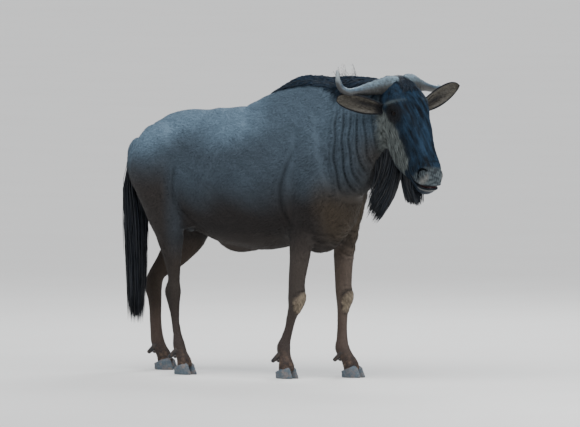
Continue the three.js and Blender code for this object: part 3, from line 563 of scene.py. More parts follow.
def make_object(name: str, surface: Surface, smooth: bool = True) -> bpy.types.Object:
    """Makes a mesh object in the frame from a surface in millimetres.

    Args:
        name: Name of the object.
        surface: Its points and faces.
        smooth: Whether its faces are shaded smooth.

    Returns:
        The linked object.
    """
    mesh = bpy.data.meshes.new(name)
    flat = np.concatenate([surface.quads.ravel(), surface.triangles.ravel()]).astype(np.int32)
    sizes = np.concatenate([np.full(len(surface.quads), 4), np.full(len(surface.triangles), 3)])
    mesh.vertices.add(len(surface.points))
    mesh.vertices.foreach_set("co", (surface.points * MM + SHIFT).astype(np.float32).ravel())
    mesh.loops.add(len(flat))
    mesh.loops.foreach_set("vertex_index", flat)
    mesh.polygons.add(len(sizes))
    mesh.polygons.foreach_set("loop_start", np.concatenate([[0], np.cumsum(sizes)[:-1]]).astype(np.int32))
    mesh.update(calc_edges=True)
    mesh.polygons.foreach_set("use_smooth", np.full(len(sizes), smooth))
    thing = bpy.data.objects.new(name, mesh)
    bpy.context.scene.collection.objects.link(thing)
    return thing


def discard(thing: bpy.types.Object) -> None:
    """Deletes an object with its mesh.

    Args:
        thing: The object.
    """
    mesh = thing.data
    bpy.data.objects.remove(thing)
    bpy.data.meshes.remove(mesh)


def take_surface(thing: bpy.types.Object) -> Surface:
    """Turns an object back into a surface in millimetres and deletes it.

    Args:
        thing: Object with three- and four-sided faces.

    Returns:
        Its surface.
    """
    mesh = thing.data
    points = np.zeros(len(mesh.vertices) * 3, np.float32)
    mesh.vertices.foreach_get("co", points)
    flat = np.zeros(len(mesh.loops), np.int32)
    mesh.loops.foreach_get("vertex_index", flat)
    starts = np.zeros(len(mesh.polygons), np.int32)
    mesh.polygons.foreach_get("loop_start", starts)
    sizes = np.diff(np.append(starts, len(flat)))
    quads, triangles = (flat[starts[sizes == count][:, None] + np.arange(count)] for count in (4, 3))
    discard(thing)
    return Surface((points.reshape(-1, 3).astype(float) - SHIFT) / MM, quads, triangles)


def add_tint(thing: bpy.types.Object, colours: Array, gloss: Optional[Array] = None) -> None:
    """Stores a colour, and how glossy the surface is, at each vertex.

    Args:
        thing: Object that carries them.
        colours: Linear colours, one a vertex.
        gloss: Values from 0 to 1, one a vertex.
    """
    layer = thing.data.attributes.new(TINT, "FLOAT_COLOR", "POINT")
    rows = np.concatenate([colours, np.ones((len(colours), 1))], 1)
    layer.data.foreach_set("color", rows.astype(np.float32).ravel())
    shine = thing.data.attributes.new(GLOSS, "FLOAT", "POINT")
    values = np.zeros(len(colours)) if gloss is None else gloss
    shine.data.foreach_set("value", values.astype(np.float32))


def finish_piece(thing: bpy.types.Object, material: Material, nodes: Sequence[str] = ()) -> None:
    """Dresses a piece and ties it to the frame.

    Args:
        thing: The piece.
        material: Its finish.
        nodes: Solids that it is shown instead of.
    """
    thing.data.materials.clear()
    thing.data.materials.append(material)
    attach(thing, "root")
    if nodes:
        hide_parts(*nodes)
    LOG.info("%s: %d faces", thing.name, len(thing.data.polygons))


# Shader tools


class Graph:
    """Short way to write a shader's nodes.

    Args:
        tree: Node tree that they go into.
    """

    def __init__(self, tree: bpy.types.NodeTree) -> None:
        """Starts on an empty tree."""
        self.tree = tree
        tree.nodes.clear()

    def fill(self, socket: Socket, value: object) -> None:
        """Gives a socket a link or a plain value.

        Args:
            socket: The socket.
            value: Another node's output, or a value.
        """
        if isinstance(value, bpy.types.NodeSocket):
            self.tree.links.new(value, socket)
        else:
            socket.default_value = value

    def feed(self, made: Node, **inputs: object) -> None:
        """Fills a node's inputs by name, with _ for a space."""
        for key, value in inputs.items():
            self.fill(made.inputs[key.replace("_", " ")], value)

    def node(self, kind: str, *values: object, settings: Optional[dict] = None, **inputs: object) -> Node:
        """Adds one node.

        Args:
            kind: Blender's name of the node type.
            *values: Values or links of its first inputs, in order.
            settings: Properties of the node.
            **inputs: Values or links by input name, with _ for a space.

        Returns:
            The node.
        """
        made = self.tree.nodes.new(kind)
        for key, value in (settings or {}).items():
            setattr(made, key, value)
        for socket, value in zip(made.inputs, values):
            self.fill(socket, value)
        self.feed(made, **inputs)
        return made

    def math(self, operation: str, *values: object, clamp: bool = False) -> Socket:
        """Result of one sum."""
        settings = {"operation": operation, "use_clamp": clamp}
        return self.node("ShaderNodeMath", *values, settings=settings).outputs[0]

    def times(self, a: object, b: object) -> Socket:
        """Product of two values."""
        return self.math("MULTIPLY", a, b)

    def slope(self, value: Socket, steepness: float, base: float) -> Socket:
        """Value times a steepness plus a base."""
        return self.math("MULTIPLY_ADD", value, steepness, base)

    def mix(self, share: object, a: object, b: object, blend: str = "MIX") -> Socket:
        """Colour between two others.

        Args:
            share: Share of the second.
            a: First colour.
            b: Second colour.
            blend: Way of mixing.

        Returns:
            The mixed colour.
        """
        settings = {"data_type": "RGBA", "blend_type": blend, "clamp_factor": True}
        made = self.node("ShaderNodeMix", settings=settings)
        for index, value in ((0, share), (6, a), (7, b)):
            self.fill(made.inputs[index], value)
        return made.outputs[2]

    def noise(self, where: Socket, scale: float, detail: float = 3.0, rough: float = 0.55) -> Socket:
        """Noise value from 0 to 1."""
        made = self.node("ShaderNodeTexNoise", Vector=where, Scale=scale, Detail=detail, Roughness=rough)
        return made.outputs[0]

    def band(self, value: Socket, low: float, high: float) -> Socket:
        """Value eased from 0 at low to 1 at high."""
        settings = {"interpolation_type": "SMOOTHSTEP"}
        return self.node("ShaderNodeMapRange", value, low, high, settings=settings).outputs[0]

    def place(self) -> Socket:
        """Place on the object, in metres."""
        return self.node("ShaderNodeTexCoord").outputs["Object"]

    def stretched(self, where: Socket, scale: Triple) -> Socket:
        """Place scaled along each axis."""
        return self.node("ShaderNodeMapping", Vector=where, Scale=scale).outputs[0]

    def stored(self, name: str) -> Socket:
        """Tint or gloss stored on the mesh."""
        settings = {"attribute_type": "GEOMETRY", "attribute_name": name}
        return self.node("ShaderNodeAttribute", settings=settings).outputs["Color" if name == TINT else "Fac"]

    def relief(self, height: Socket, deep_mm: float) -> Socket:
        """Normal of a relief from 0 to 1 of a depth."""
        return self.node("ShaderNodeBump", Height=height, Strength=1.0, Distance=deep_mm * MM).outputs[0]


@dataclass(frozen=True)
class Effect:
    """A shader effect shared by several finishes, as a node group.

    Args:
        name: Name of the group.
        values: Names and defaults of its values.
        colours: Names and defaults of its colours.
        outputs: Names of its outputs and their socket types.
        write: Function that wires the group from its input and output nodes.
    """

    name: str
    values: dict[str, float]
    colours: dict[str, Triple]
    outputs: dict[str, str]
    write: Callable[[Graph, Node, Node], None]

    def group(self) -> bpy.types.NodeTree:
        """The node group, made once.

        Returns:
            The group's tree.
        """
        found = bpy.data.node_groups.get(self.name)
        if found:
            return found
        tree = bpy.data.node_groups.new(self.name, "ShaderNodeTree")
        for name, value in self.values.items():
            socket = tree.interface.new_socket(name, in_out="INPUT", socket_type="NodeSocketFloat")
            socket.default_value = value
        for name, value in self.colours.items():
            socket = tree.interface.new_socket(name, in_out="INPUT", socket_type="NodeSocketColor")
            socket.default_value = (*value, 1.0)
        for name, kind in self.outputs.items():
            tree.interface.new_socket(name, in_out="OUTPUT", socket_type=kind)
        graph = Graph(tree)
        self.write(graph, graph.node("NodeGroupInput"), graph.node("NodeGroupOutput"))
        return tree

    def use(self, graph: Graph, **inputs: object) -> Node:
        """Places the group in a material with its own values."""
        return graph.node("ShaderNodeGroup", settings={"node_tree": self.group()}, **inputs)


def write_grizzle(graph: Graph, given: Node, result: Node) -> None:
    """Wires uneven hair colour: broad patches, speckles and hair-fine streaks.

    Args:
        graph: The group's graph.
        given: Its input node.
        result: Its output node.
    """
    where = graph.place()
    patches = graph.noise(where, 38.0, 3.0)
    flecks = graph.noise(graph.stretched(where, (0.35, 1.0, 0.6)), 620.0, 2.0, 0.7)
    patchy, fine = given.outputs["Patches"], given.outputs["Flecks"]
    bright = 1.0
    for noise, strength in (
        (graph.noise(where, 7.0, 2.0), graph.times(patchy, 0.9)),
        (patches, patchy),
        (flecks, fine),
        (graph.noise(where, 170.0, 2.0, 0.7), fine),
    ):
        bright = graph.math("ADD", graph.times(graph.math("SUBTRACT", noise, 0.5), strength), bright)
    scale = {"operation": "SCALE"}
    tinted = graph.node("ShaderNodeVectorMath", given.outputs["Colour"], settings=scale, Scale=bright)
    height = graph.math("ADD", graph.times(flecks, 0.6), graph.times(patches, 0.6))
    graph.feed(result, Colour=tinted.outputs[0], Height=height)


GRIZZLE = Effect(
    "Grizzle",
    {"Patches": 0.3, "Flecks": 0.5},
    {"Colour": (0.2, 0.2, 0.2)},
    {"Colour": "NodeSocketColor", "Height": "NodeSocketFloat"},
    write_grizzle,
)


def write_dust(graph: Graph, given: Node, result: Node) -> None:
    """Wires dry dust that settles low down and in patches.

    Args:
        graph: The group's graph.
        given: Its input node.
        result: Its output node.
    """
    where = graph.place()
    height = graph.node("ShaderNodeSeparateXYZ", Vector=where).outputs[2]
    low = graph.math("SUBTRACT", 1.0, graph.band(height, 0.0, 0.16))
    spots = graph.band(graph.noise(where, 45.0, 5.0, 0.65), 0.4, 0.75)
    share = graph.math("MULTIPLY", graph.times(low, spots), given.outputs["Amount"], clamp=True)
    graph.feed(result, Colour=graph.mix(share, given.outputs["Colour"], given.outputs["Dust"]))


DUST = Effect(
    "Settled dust",
    {"Amount": 0.6},
    {"Colour": (0.1, 0.1, 0.1), "Dust": (0.27, 0.17, 0.11)},
    {"Colour": "NodeSocketColor"},
    write_dust,
)


@dataclass(frozen=True)
class Finish:
    """What every finish shares.

    Args:
        name: Name of the material.
        roughness: Roughness where the surface is dry.
        specular: Strength of its gloss.
    """

    name: str
    roughness: float
    specular: float = 0.5

    def material(self) -> Material:
        """Builds the material.

        Returns:
            The material, with its shader fed in the finish's own way.
        """
        material = bpy.data.materials.new(self.name)
        material.use_nodes = True
        graph = Graph(material.node_tree)
        shader = graph.node("ShaderNodeBsdfPrincipled", Specular_IOR_Level=self.specular)
        graph.node("ShaderNodeOutputMaterial", Surface=shader.outputs[0])
        graph.feed(shader, Roughness=self.roughness)
        self.wire(graph, shader)
        return material

    def wire(self, graph: Graph, shader: Node) -> None:
        """Feeds the shader; each finish has its own way."""


@dataclass(frozen=True)
class HideFinish(Finish):
    """Short coat or bare skin, coloured by what the mesh stores.

    Args:
        relief: Depth of the hair's relief, mm.
        flecks: How strongly single hairs differ.
        sheen: Strength of the soft bloom on the hair.
    """

    relief: float = 0.8
    flecks: float = 0.5
    sheen: float = 0.03

    def wire(self, graph: Graph, shader: Node) -> None:
        """Feeds the shader.

        Args:
            graph: The material's graph.
            shader: Its shader node.
        """
        grain = GRIZZLE.use(graph, Colour=graph.stored(TINT), Patches=0.14, Flecks=self.flecks)
        dusty = DUST.use(graph, Colour=grain.outputs["Colour"], Amount=0.55)
        rough = graph.slope(graph.stored(GLOSS), -0.45, self.roughness)
        bumps = graph.relief(grain.outputs["Height"], self.relief)
        graph.feed(shader, Base_Color=dusty.outputs["Colour"], Roughness=rough, Normal=bumps)
        graph.feed(shader, Sheen_Weight=self.sheen, Sheen_Roughness=0.45, Sheen_Tint=(0.75, 0.85, 1.0, 1.0))


@dataclass(frozen=True)
class HairFinish(Finish):
    """Long hair, streaked along the locks by what the mesh stores."""

    def wire(self, graph: Graph, shader: Node) -> None:
        """Feeds the shader.

        Args:
            graph: The material's graph.
            shader: Its shader node.
        """
        grain = GRIZZLE.use(graph, Colour=graph.stored(TINT), Patches=0.25, Flecks=0.7)
        rough = graph.slope(graph.noise(graph.place(), 60.0, 2.0), 0.25, self.roughness - 0.12)
        bumps = graph.relief(grain.outputs["Height"], 0.3)
        graph.feed(shader, Base_Color=grain.outputs["Colour"], Roughness=rough, Normal=bumps, Anisotropic=0.4)


@dataclass(frozen=True)
class HornFinish(Finish):
    """Grey horn, pitted and stained at the boss and smoother toward the tip.

    Args:
        relief: Depth of cracks and ridges, mm.
    """

    relief: float = 1.6

    def wire(self, graph: Graph, shader: Node) -> None:
        """Feeds the shader.

        Args:
            graph: The material's graph.
            shader: Its shader node.
        """
        where, boss = graph.place(), graph.stored(GLOSS)
        fibres = graph.noise(graph.stretched(where, (1.0, 0.3, 1.0)), 190.0, 4.0, 0.65)
        pits = graph.band(graph.noise(where, 170.0, 6.0, 0.8), 0.46, 0.64)
        scored = graph.times(pits, graph.slope(boss, 0.6, 0.5))
        stains = graph.band(graph.noise(where, 30.0, 4.0), 0.4, 0.7)
        colour = graph.mix(graph.times(stains, 0.35), graph.stored(TINT), (0.06, 0.065, 0.065, 1.0))
        colour = graph.mix(graph.times(scored, 0.75), colour, (0.03, 0.028, 0.024, 1.0))
        colour = graph.mix(graph.times(fibres, 0.5), colour, (0.32, 0.33, 0.3, 1.0), "OVERLAY")
        rise = graph.math("SUBTRACT", graph.times(fibres, 0.45), graph.times(scored, 0.7))
        rough = graph.slope(boss, 0.32, self.roughness)
        graph.feed(shader, Base_Color=colour, Roughness=rough, Normal=graph.relief(rise, self.relief))


@dataclass(frozen=True)
class HoofFinish(Finish):
    """Blue-grey hoof horn with growth rings, scuffs and dust at the foot."""

    def wire(self, graph: Graph, shader: Node) -> None:
        """Feeds the shader.

        Args:
            graph: The material's graph.
            shader: Its shader node.
        """
        where = graph.place()
        height = graph.node("ShaderNodeSeparateXYZ", Vector=where).outputs[2]
        wobble = graph.times(graph.noise(where, 30.0, 2.0), 0.006)
        rings = graph.math("SINE", graph.times(graph.math("ADD", height, wobble), 900.0))
        scuffs = graph.band(graph.noise(where, 150.0, 4.0, 0.7), 0.5, 0.72)
        dark, light = (0.024, 0.036, 0.048, 1.0), (0.062, 0.098, 0.128, 1.0)
        colour = graph.mix(graph.slope(rings, 0.12, 0.35), dark, light)
        colour = graph.mix(graph.times(scuffs, 0.5), colour, (0.17, 0.21, 0.24, 1.0))
        dusty = DUST.use(graph, Colour=colour, Amount=0.45)
        bumps = graph.relief(graph.math("ADD", graph.times(rings, 0.25), scuffs), 0.5)
        rough = graph.slope(scuffs, 0.25, self.roughness)
        graph.feed(shader, Base_Color=dusty.outputs["Colour"], Roughness=rough, Normal=bumps)


@dataclass(frozen=True)
class EyeFinish(Finish):
    """Wet dark eye with a brown iris and a long level pupil."""

    def wire(self, graph: Graph, shader: Node) -> None:
        """Feeds the shader.

        Args:
            graph: The material's graph.
            shader: Its shader node.
        """
        fibres = graph.times(graph.noise(graph.place(), 900.0, 3.0), 0.4)
        colour = graph.mix(fibres, graph.stored(TINT), (0.006, 0.003, 0.002, 1.0))
        graph.feed(shader, Base_Color=colour, Coat_Weight=0.05, Coat_Roughness=0.02)


@dataclass(frozen=True)
class FloorFinish(Finish):
    """Plain pale studio floor."""

    def wire(self, graph: Graph, shader: Node) -> None:
        """Feeds the shader."""
        soft = graph.noise(graph.place(), 1.5, 2.0)
        graph.feed(shader, Base_Color=graph.mix(soft, (0.72, 0.7, 0.67, 1.0), (0.76, 0.745, 0.715, 1.0)))


# Markings and relief, worked out from where a place lies


def tone(red: int, green: int, blue: int) -> Array:
    """Linear colour from a screen colour of 0 to 255."""
    value = np.array([red, green, blue]) / 255.0
    return np.where(value <= 0.04045, value / 12.92, ((value + 0.055) / 1.055) ** 2.4)


class Paint:
    """Colours under work, one a place.

    Args:
        colour: First colour, the same everywhere.
        points: Places that are painted.
    """

    def __init__(self, colour: Array, points: Array) -> None:
        """Lays the first colour."""
        self.tint = colour + 0 * points

    def toward(self, colour: Array, share: Array) -> None:
        """Moves the colours toward another by a share each."""
        self.tint = self.tint + (colour - self.tint) * np.clip(share, 0, 1)[:, None]

    def times(self, factor: Array) -> None:
        """Brightens or darkens each place by its factor."""
        self.tint = self.tint * factor[:, None]


def hue(red: int, green: int, blue: int) -> Array:
    """Dataclass field that starts as a screen colour."""
    return field(default_factory=lambda: tone(red, green, blue))


def hair_colours(random: np.random.Generator, dark: Array, light: Array, count: int) -> Array:
    """Colours of locks, mostly near the darker of two, each with its own brightness."""
    share = random.random((count, 1)) ** 2
    return (dark * (1 - share) + light * share) * random.uniform(0.5, 1.4, (count, 1))


class FaceFolds:
    """Fine forms of the face that colours and relief share."""

    @staticmethod
    def arcs(spread: Array) -> Array:
        """Wrinkles round the eye at distances from its middle."""
        return bump(np.sin(spread / 2.3), 1, 0.5) * bump(spread, 42, 12)

    @staticmethod
    def gland(down: Array, out: Array, reach: float) -> Array:
        """Hollow below the eye."""
        return bump(np.hypot(down - SKULL.gland[0], out - SKULL.gland[1]), 0, reach)

    @staticmethod
    def brow(down: Array, out: Array, reach: float) -> Array:
        """Slanted fold over the eye."""
        return bump(down - SKULL.brow_fold - 0.25 * out, 0, reach) * bump(out, 4, 44)

    @staticmethod
    def ripples(down: Array, out: Array) -> Array:
        """Waves across the folds behind the nostril, from -1 to 1."""
        return np.sin((out + 0.4 * down) / 3.2)


@dataclass(frozen=True)
class NeckFolds:
    """Creases that run down the sides of the neck, each with its own foot and strength."""

    first: float = 492.0
    spacing: float = 39.6
    lean: float = 0.10
    top: float = 1270.0
    depth: float = 10.0
    feet: tuple[float, ...] = (860, 800, 880, 930, 960, 1000, 1040)
    strengths: tuple[float, ...] = (0.8, 1.0, 0.85, 0.9, 0.75, 0.8, 0.7)

    def creases(self, points: Array) -> Array:
        """How far into a crease each place lies.

        Args:
            points: Places in millimetres.

        Returns:
            Values from 0 to 1.
        """
        x, y, z = points.T
        place = (x - self.first - self.lean * (1150 - z) + 7 * folded(points, 11, 170)) / self.spacing
        nearest = np.clip(np.round(place), 0, len(self.feet) - 1).astype(int)
        foot = np.array(self.feet)[nearest]
        under_top = falls(z, self.top - 70, self.top)
        near = bump((place - nearest) * self.spacing, 0, 7.5)
        deep = near * (rises(z, foot - 40, foot + 70) * under_top) * np.array(self.strengths)[nearest]
        fine = 0.22 * bump(np.sin((x + 0.1 * z + 6 * folded(points, 12, 120)) / 3.4), 1, 0.45)
        fine = fine * rises(x, 440, 500) * rises(z, 900, 1000) * under_top
        return np.maximum(deep, fine) * rises(np.abs(y), 40, 75)


@dataclass(frozen=True)
class BodyFolds:
    """Creases behind the shoulder, at the flank, in front of the thigh and over the brisket."""

    depth: float = 7.0
    shoulder: Rows = ((703, 789, 885, 976, 1080), (284, 253, 245, 264, 296))  # heights and their x
    flank: Rows = ((-361, -339, -305, -214), (860, 764, 738, 657))  # x and their heights
    thigh: Rows = ((800, 960), (-372, -358))  # heights and their x

    def creases(self, points: Array) -> Array:
        """How far into a crease each place lies.

        Args:
            points: Places in millimetres.

        Returns:
            Values from 0 to 1.
        """
        x, y, z = points.T
        outer = np.abs(y) > 90
        total = bump(x, np.interp(z, *self.shoulder), 15) * rises(z, 660, 730) * falls(z, 960, 1120) * outer
        fold = bump(z, np.interp(x, *self.flank), 12)
        total += 0.9 * fold * rises(x, -370, -350) * falls(x, -240, -200) * outer
        fold = bump(x, np.interp(z, *self.thigh), 12)
        total += 0.8 * fold * rises(z, 780, 830) * falls(z, 930, 990) * outer
        brisket = np.sin((z + 0.45 * x + 16 * folded(points, 13, 130)) / 9.0)
        total += 0.45 * bump(brisket, 1, 0.5) * rises(x, 330, 380) * falls(z, 650, 720) * (z > LEG_TOP)
        return np.clip(total, 0, 1)


@dataclass(frozen=True)
class Mouth:
    """The mouth's line: a dark gap between rounded lips, wider toward the front."""

    depth: float = 10.0
    widths: Rows = ((0, 0.5, 0.8, 1), (1.2, 2.0, 5.0, 7.5))  # shares of the line and half widths

    def measures(self, points: Array) -> tuple[Array, Array, Array]:
        """Distance from the mouth's gap, where its inside shows, and which lip is near.

        Args:
            points: Places in millimetres.

        Returns:
            Distances from the edge of the gap, a mask of the gap, and distances below its line.
        """
        local = SKULL.local(points)
        steps = np.linspace(0, 1, 60)
        line = SKULL.mouth_line(steps) + np.array([-6.0, 2.0]) * steps[:, None]
        along = unit(np.gradient(line, axis=0))
        away, below = np.full((2, len(points)), 1e3)
        inside = np.zeros(len(points))
        near = (local[:, 0] > 400) & (local[:, 2] < 60) & (points[:, 0] > MUZZLE_X)
        flat = local[near][:, [0, 2]]
        gaps = np.linalg.norm(flat[:, None] - line[None], axis=2)
        which = gaps.argmin(1)
        away[near] = gaps[np.arange(len(flat)), which] - np.interp(which / 59.0, *self.widths)
        gone = flat - line[which]
        below[near] = gone[:, 0] * along[which, 1] - gone[:, 1] * along[which, 0]
        inside[near] = 1 - rises(away[near], -1.5, 1.5)
        return away, inside, below


@dataclass(frozen=True)
class Nostrils:
    """Curved slits, each round a fleshy pad and open toward the lip."""

    radius: float = 8.0
    start_deg: float = 112.0
    end_deg: float = 282.0
    depth: float = 14.0

    def slit(self, points: Array) -> Array:
        """How far into a slit each place lies.

        Args:
            points: Places in millimetres.

        Returns:
            Values from 0 to 1.
        """
        down, _, out = SKULL.local(points).T
        dx, dy = down - SKULL.nostril[0], out - SKULL.nostril[1]
        along = np.clip(np.degrees(np.arctan2(dy, dx)) % 360, self.start_deg, self.end_deg)
        near = SKULL.nostril_turn * np.stack([np.cos(np.radians(along)), np.sin(np.radians(along))], 1)
        gap = np.hypot(dx - near[:, 0], dy - near[:, 1])
        middle = (self.start_deg + self.end_deg) / 2
        full = 1 - 0.5 * ((along - middle) / (self.end_deg - middle)) ** 2
        return (1 - rises(gap, 0.45 * self.radius * full, self.radius * full)) * (points[:, 0] > MUZZLE_X)


NECK_FOLDS = NeckFolds()
BODY_FOLDS = BodyFolds()
MOUTH = Mouth()
NOSTRILS = Nostrils()


@dataclass
class Markings:
    """Colours of the hide, worked out from where a point lies on the animal."""

    slate: Array = hue(53, 62, 70)
    # Lighter, bluer colour for the top of the trunk and rump: painted sheen.
    back: Array = hue(91, 110, 125)
    # Dark brown for the lower barrel: the belly's own browner tone, darkened further by painted shade under
    # the body.
    belly: Array = hue(31, 26, 23)
    chest: Array = hue(57, 49, 40)
    leg: Array = hue(56, 50, 46)
    shank: Array = hue(54, 47, 44)
    black: Array = hue(16, 30, 43)
    cheek: Array = hue(71, 78, 79)
    socket: Array = hue(17, 17, 19)
    muzzle: Array = hue(66, 73, 76)
    mottle: Array = hue(24, 29, 34)
    pale: Array = hue(120, 118, 114)
    callus: Array = hue(98, 88, 75)
    maroon: Array = hue(46, 14, 12)
    blaze: Rows = ((0, 90, 150, 210, 300, 380, 440), (0.62, 0.46, 0.36, 0.30, 0.36, 0.42, 0.9))  # down, depth

    def colours(self, points: Array) -> tuple[Array, Array]:
        """Colour and gloss of places on the hide.

        Args:
            points: Places in millimetres.

        Returns:
            Linear colours and gloss values.
        """
        x, y, z = points.T
        uneven = folded(points, 3, 260)
        upper = rises(z + 30 * uneven + 90 * falls(x, -560, -300), 1000, 1220)
        flank = falls(z - 30 * uneven, 740, 960) * rises(z, 500, 580) * rises(x, -420, -300)
        paint = Paint(self.slate, points)
        # Painted sheen: the top of the trunk and rump turns toward the lighter, bluer back colour.
        paint.toward(self.back, upper * (1 - 0.7 * rises(x, -80, 170)))
        # The lower barrel turns dark brown: partly the belly's own tone, partly painted shade under the body.
        paint.toward(self.belly, 0.93 * flank)
        paint.toward(self.leg, falls(z - 20 * uneven, 520, 700))
        paint.toward(self.leg * 0.55, 0.95 * falls(x, -440, -330) * falls(z, 840, 1060))
        paint.toward(self.shank, falls(z, 200, 330))
        # Painted light: the far legs are brightened where light bounced from the ground falls on them.
        far = 0.75 * rises(y, 0, 50) * falls(z, 580, 640) * rises(z, 90, 160)
        paint.tint *= 1 + far[:, None] * np.array([1.0, 0.85, 0.7])
        paint.toward(self.chest, 0.85 * rises(x, 380, 470) * falls(z, 760, 1000) * rises(z, 540, 620))
        paint.toward(self.chest, 0.7 * rises(x, 560, 700) * falls(z, 1020, 1180))
        # Darker neck creases: partly the dark brindle stripes, partly painted shade in the folds.
        paint.times(1 - 0.82 * NECK_FOLDS.creases(points))
        # Painted shade in the creases behind the shoulder, at the flank, in front of the thigh and over the
        # brisket.
        paint.times(1 - 0.45 * BODY_FOLDS.creases(points))
        paint.times(1 + 0.05 * folded(points, 5, 120))
        streaks = folded(points * np.array([0.35, 1, 1]), 6, 16)
        paint.times(1 + 0.05 * streaks * rises(z, LEG_TOP, 640))
        oval = self.knee_oval(points)
        paint.toward(self.leg * 0.4, 0.7 * bump(oval, 1.14, 0.16))
        paint.toward(self.leg * 0.6, 0.6 * bump(oval, 1.25, 0.3))
        worn = self.callus * (0.9 + 0.5 * folded(points, 17, 9))[:, None]
        paint.toward(worn, falls(oval, 0.6, 1.1))
        paint.toward(self.black * 0.6, rises(x, 60, 160) * falls(np.abs(y), 12, 34) * rises(z, 1250, 1290))
        gloss = self.on_head(points, paint)
        return paint.tint, gloss

    @staticmethod
    def knee_oval(points: Array) -> Array:
        """Measure of the bare callus on each knee: below one inside, one at its edge.

        Args:
            points: Places in millimetres.

        Returns:
            One measure a place.
        """
        x, y, z = points.T
        ahead = x - np.where(y < 0, 274, 378)
        oval = ((z - 350) / 54) ** 2 + ((np.abs(y) - FORE_SPREAD) / 44) ** 2
        return oval + 9 * (1 - rises(ahead, 0, 10)) + 9 * ((x < 200) | (x > 460) | (z > 460))

    def on_head(self, points: Array, paint: Paint) -> Array:
        """Adds the face's own colours.

        Args:
            points: Places in millimetres.
            paint: Colours so far.

        Returns:
            Gloss of every place, on the head and off it.
        """
        down, side, out = SKULL.local(points).T
        wide = np.abs(side)
        near = rises(points[:, 0], 690, 730) * rises(down, -60, -10) * (wide < 125) * (out > -240)
        beside = near * (wide > 40)
        uneven = 6 * folded(points, 8, 50)
        table = np.array(SKULL.rings)
        face, jaw = (np.interp(down, table[:, 0], table[:, k]) for k in (1, 2))
        depth = (face - out) / np.maximum(face - jaw, 40.0)
        edge = np.interp(down, *self.blaze)
        blaze = falls(depth + 0.004 * uneven, edge - 0.05, edge + 0.06)
        dappled = self.cheek * (0.95 + 0.5 * folded(points, 19, 17))[:, None] * np.array([1.06, 0.99, 0.93])
        paint.toward(dappled, near)
        paint.toward(self.black, near * blaze)
        strands = folded(np.stack([0.2 * down, side, out], 1), 9, 14)
        broad = folded(np.stack([0.35 * down, side, out], 1), 15, 40)
        paint.times(np.clip(1 + near * (0.25 + 0.75 * blaze) * 0.6 * (strands + broad), 0.2, 2.0))
        paint.toward(self.black * 0.35, 0.6 * near * bump(depth - edge, -0.04, 0.07) * rises(down, 60, 130))
        spread = np.hypot(down - SKULL.eye[0], (out - SKULL.eye[2]) * 1.05)
        paint.toward(self.socket, 0.93 * beside * falls(spread + uneven, 34, 64))
        # Painted shade in the wrinkles round the eye.
        paint.times(1 - 0.4 * beside * FaceFolds.arcs(spread))
        paint.toward(self.black * 0.4, 0.8 * beside * FaceFolds.gland(down, out, 15))
        # Painted highlight along the raised fold over the eye.
        paint.toward(self.cheek * 1.6, 0.55 * beside * FaceFolds.brow(down, out, 7))
        whole = rises(down - 0.15 * out + 0.5 * uneven, 450, 472)
        snout = near * whole
        paint.toward(self.muzzle, snout)
        paint.toward(self.mottle, 0.85 * snout * rises(folded(points, 16, 15), -0.35, 0.45))
        paint.toward(self.pale, 0.5 * snout * bump(wide, 45, 9) * bump(down, 505, 14))
        paint.times(1 - 0.15 * snout * (1 + FaceFolds.ripples(down, out)) * bump(down, 476, 26))
        under = rises(depth, 0.82, 0.98) * rises(down, 240, 330)
        paint.toward(self.black * 0.8, 0.7 * near * under * (1 - whole))
        line, inside, below = MOUTH.measures(points)
        paint.toward(self.black * 0.7, near * rises(below, 0.0, 6.0) * (line < 90))
        paint.toward(self.pale, 0.5 * near * bump(line, 11.0, 4.5) * rises(down, 500, 528) * (below > 0))
        # Near-black gap along the mouth's line: painted shade inside the opening.
        paint.toward(self.black * 0.25, near * falls(line, 3.0, 7.0))
        paint.toward(self.black * 0.4, 0.8 * near * bump(down - 452 + 0.3 * out, 0, 5) * (out > -20))
        paint.toward(self.maroon, near * inside * bump(below, 0, 2.0) * rises(down, 500, 520))
        pad = bump(np.hypot(down - 508, (out + 10) * 0.8), 0, 13) * (wide > 18)
        paint.toward(self.pale, 0.45 * near * pad)
        slit = NOSTRILS.slit(points)
        # Near-black slits: painted shade inside the nostrils.
        paint.toward(self.black * 0.15, near * rises(slit, 0.05, 0.6))
        return np.clip(0.15 + near * (0.35 * whole + 0.5 * inside + 0.3 * slit + 0.1 * blaze), 0, 1)


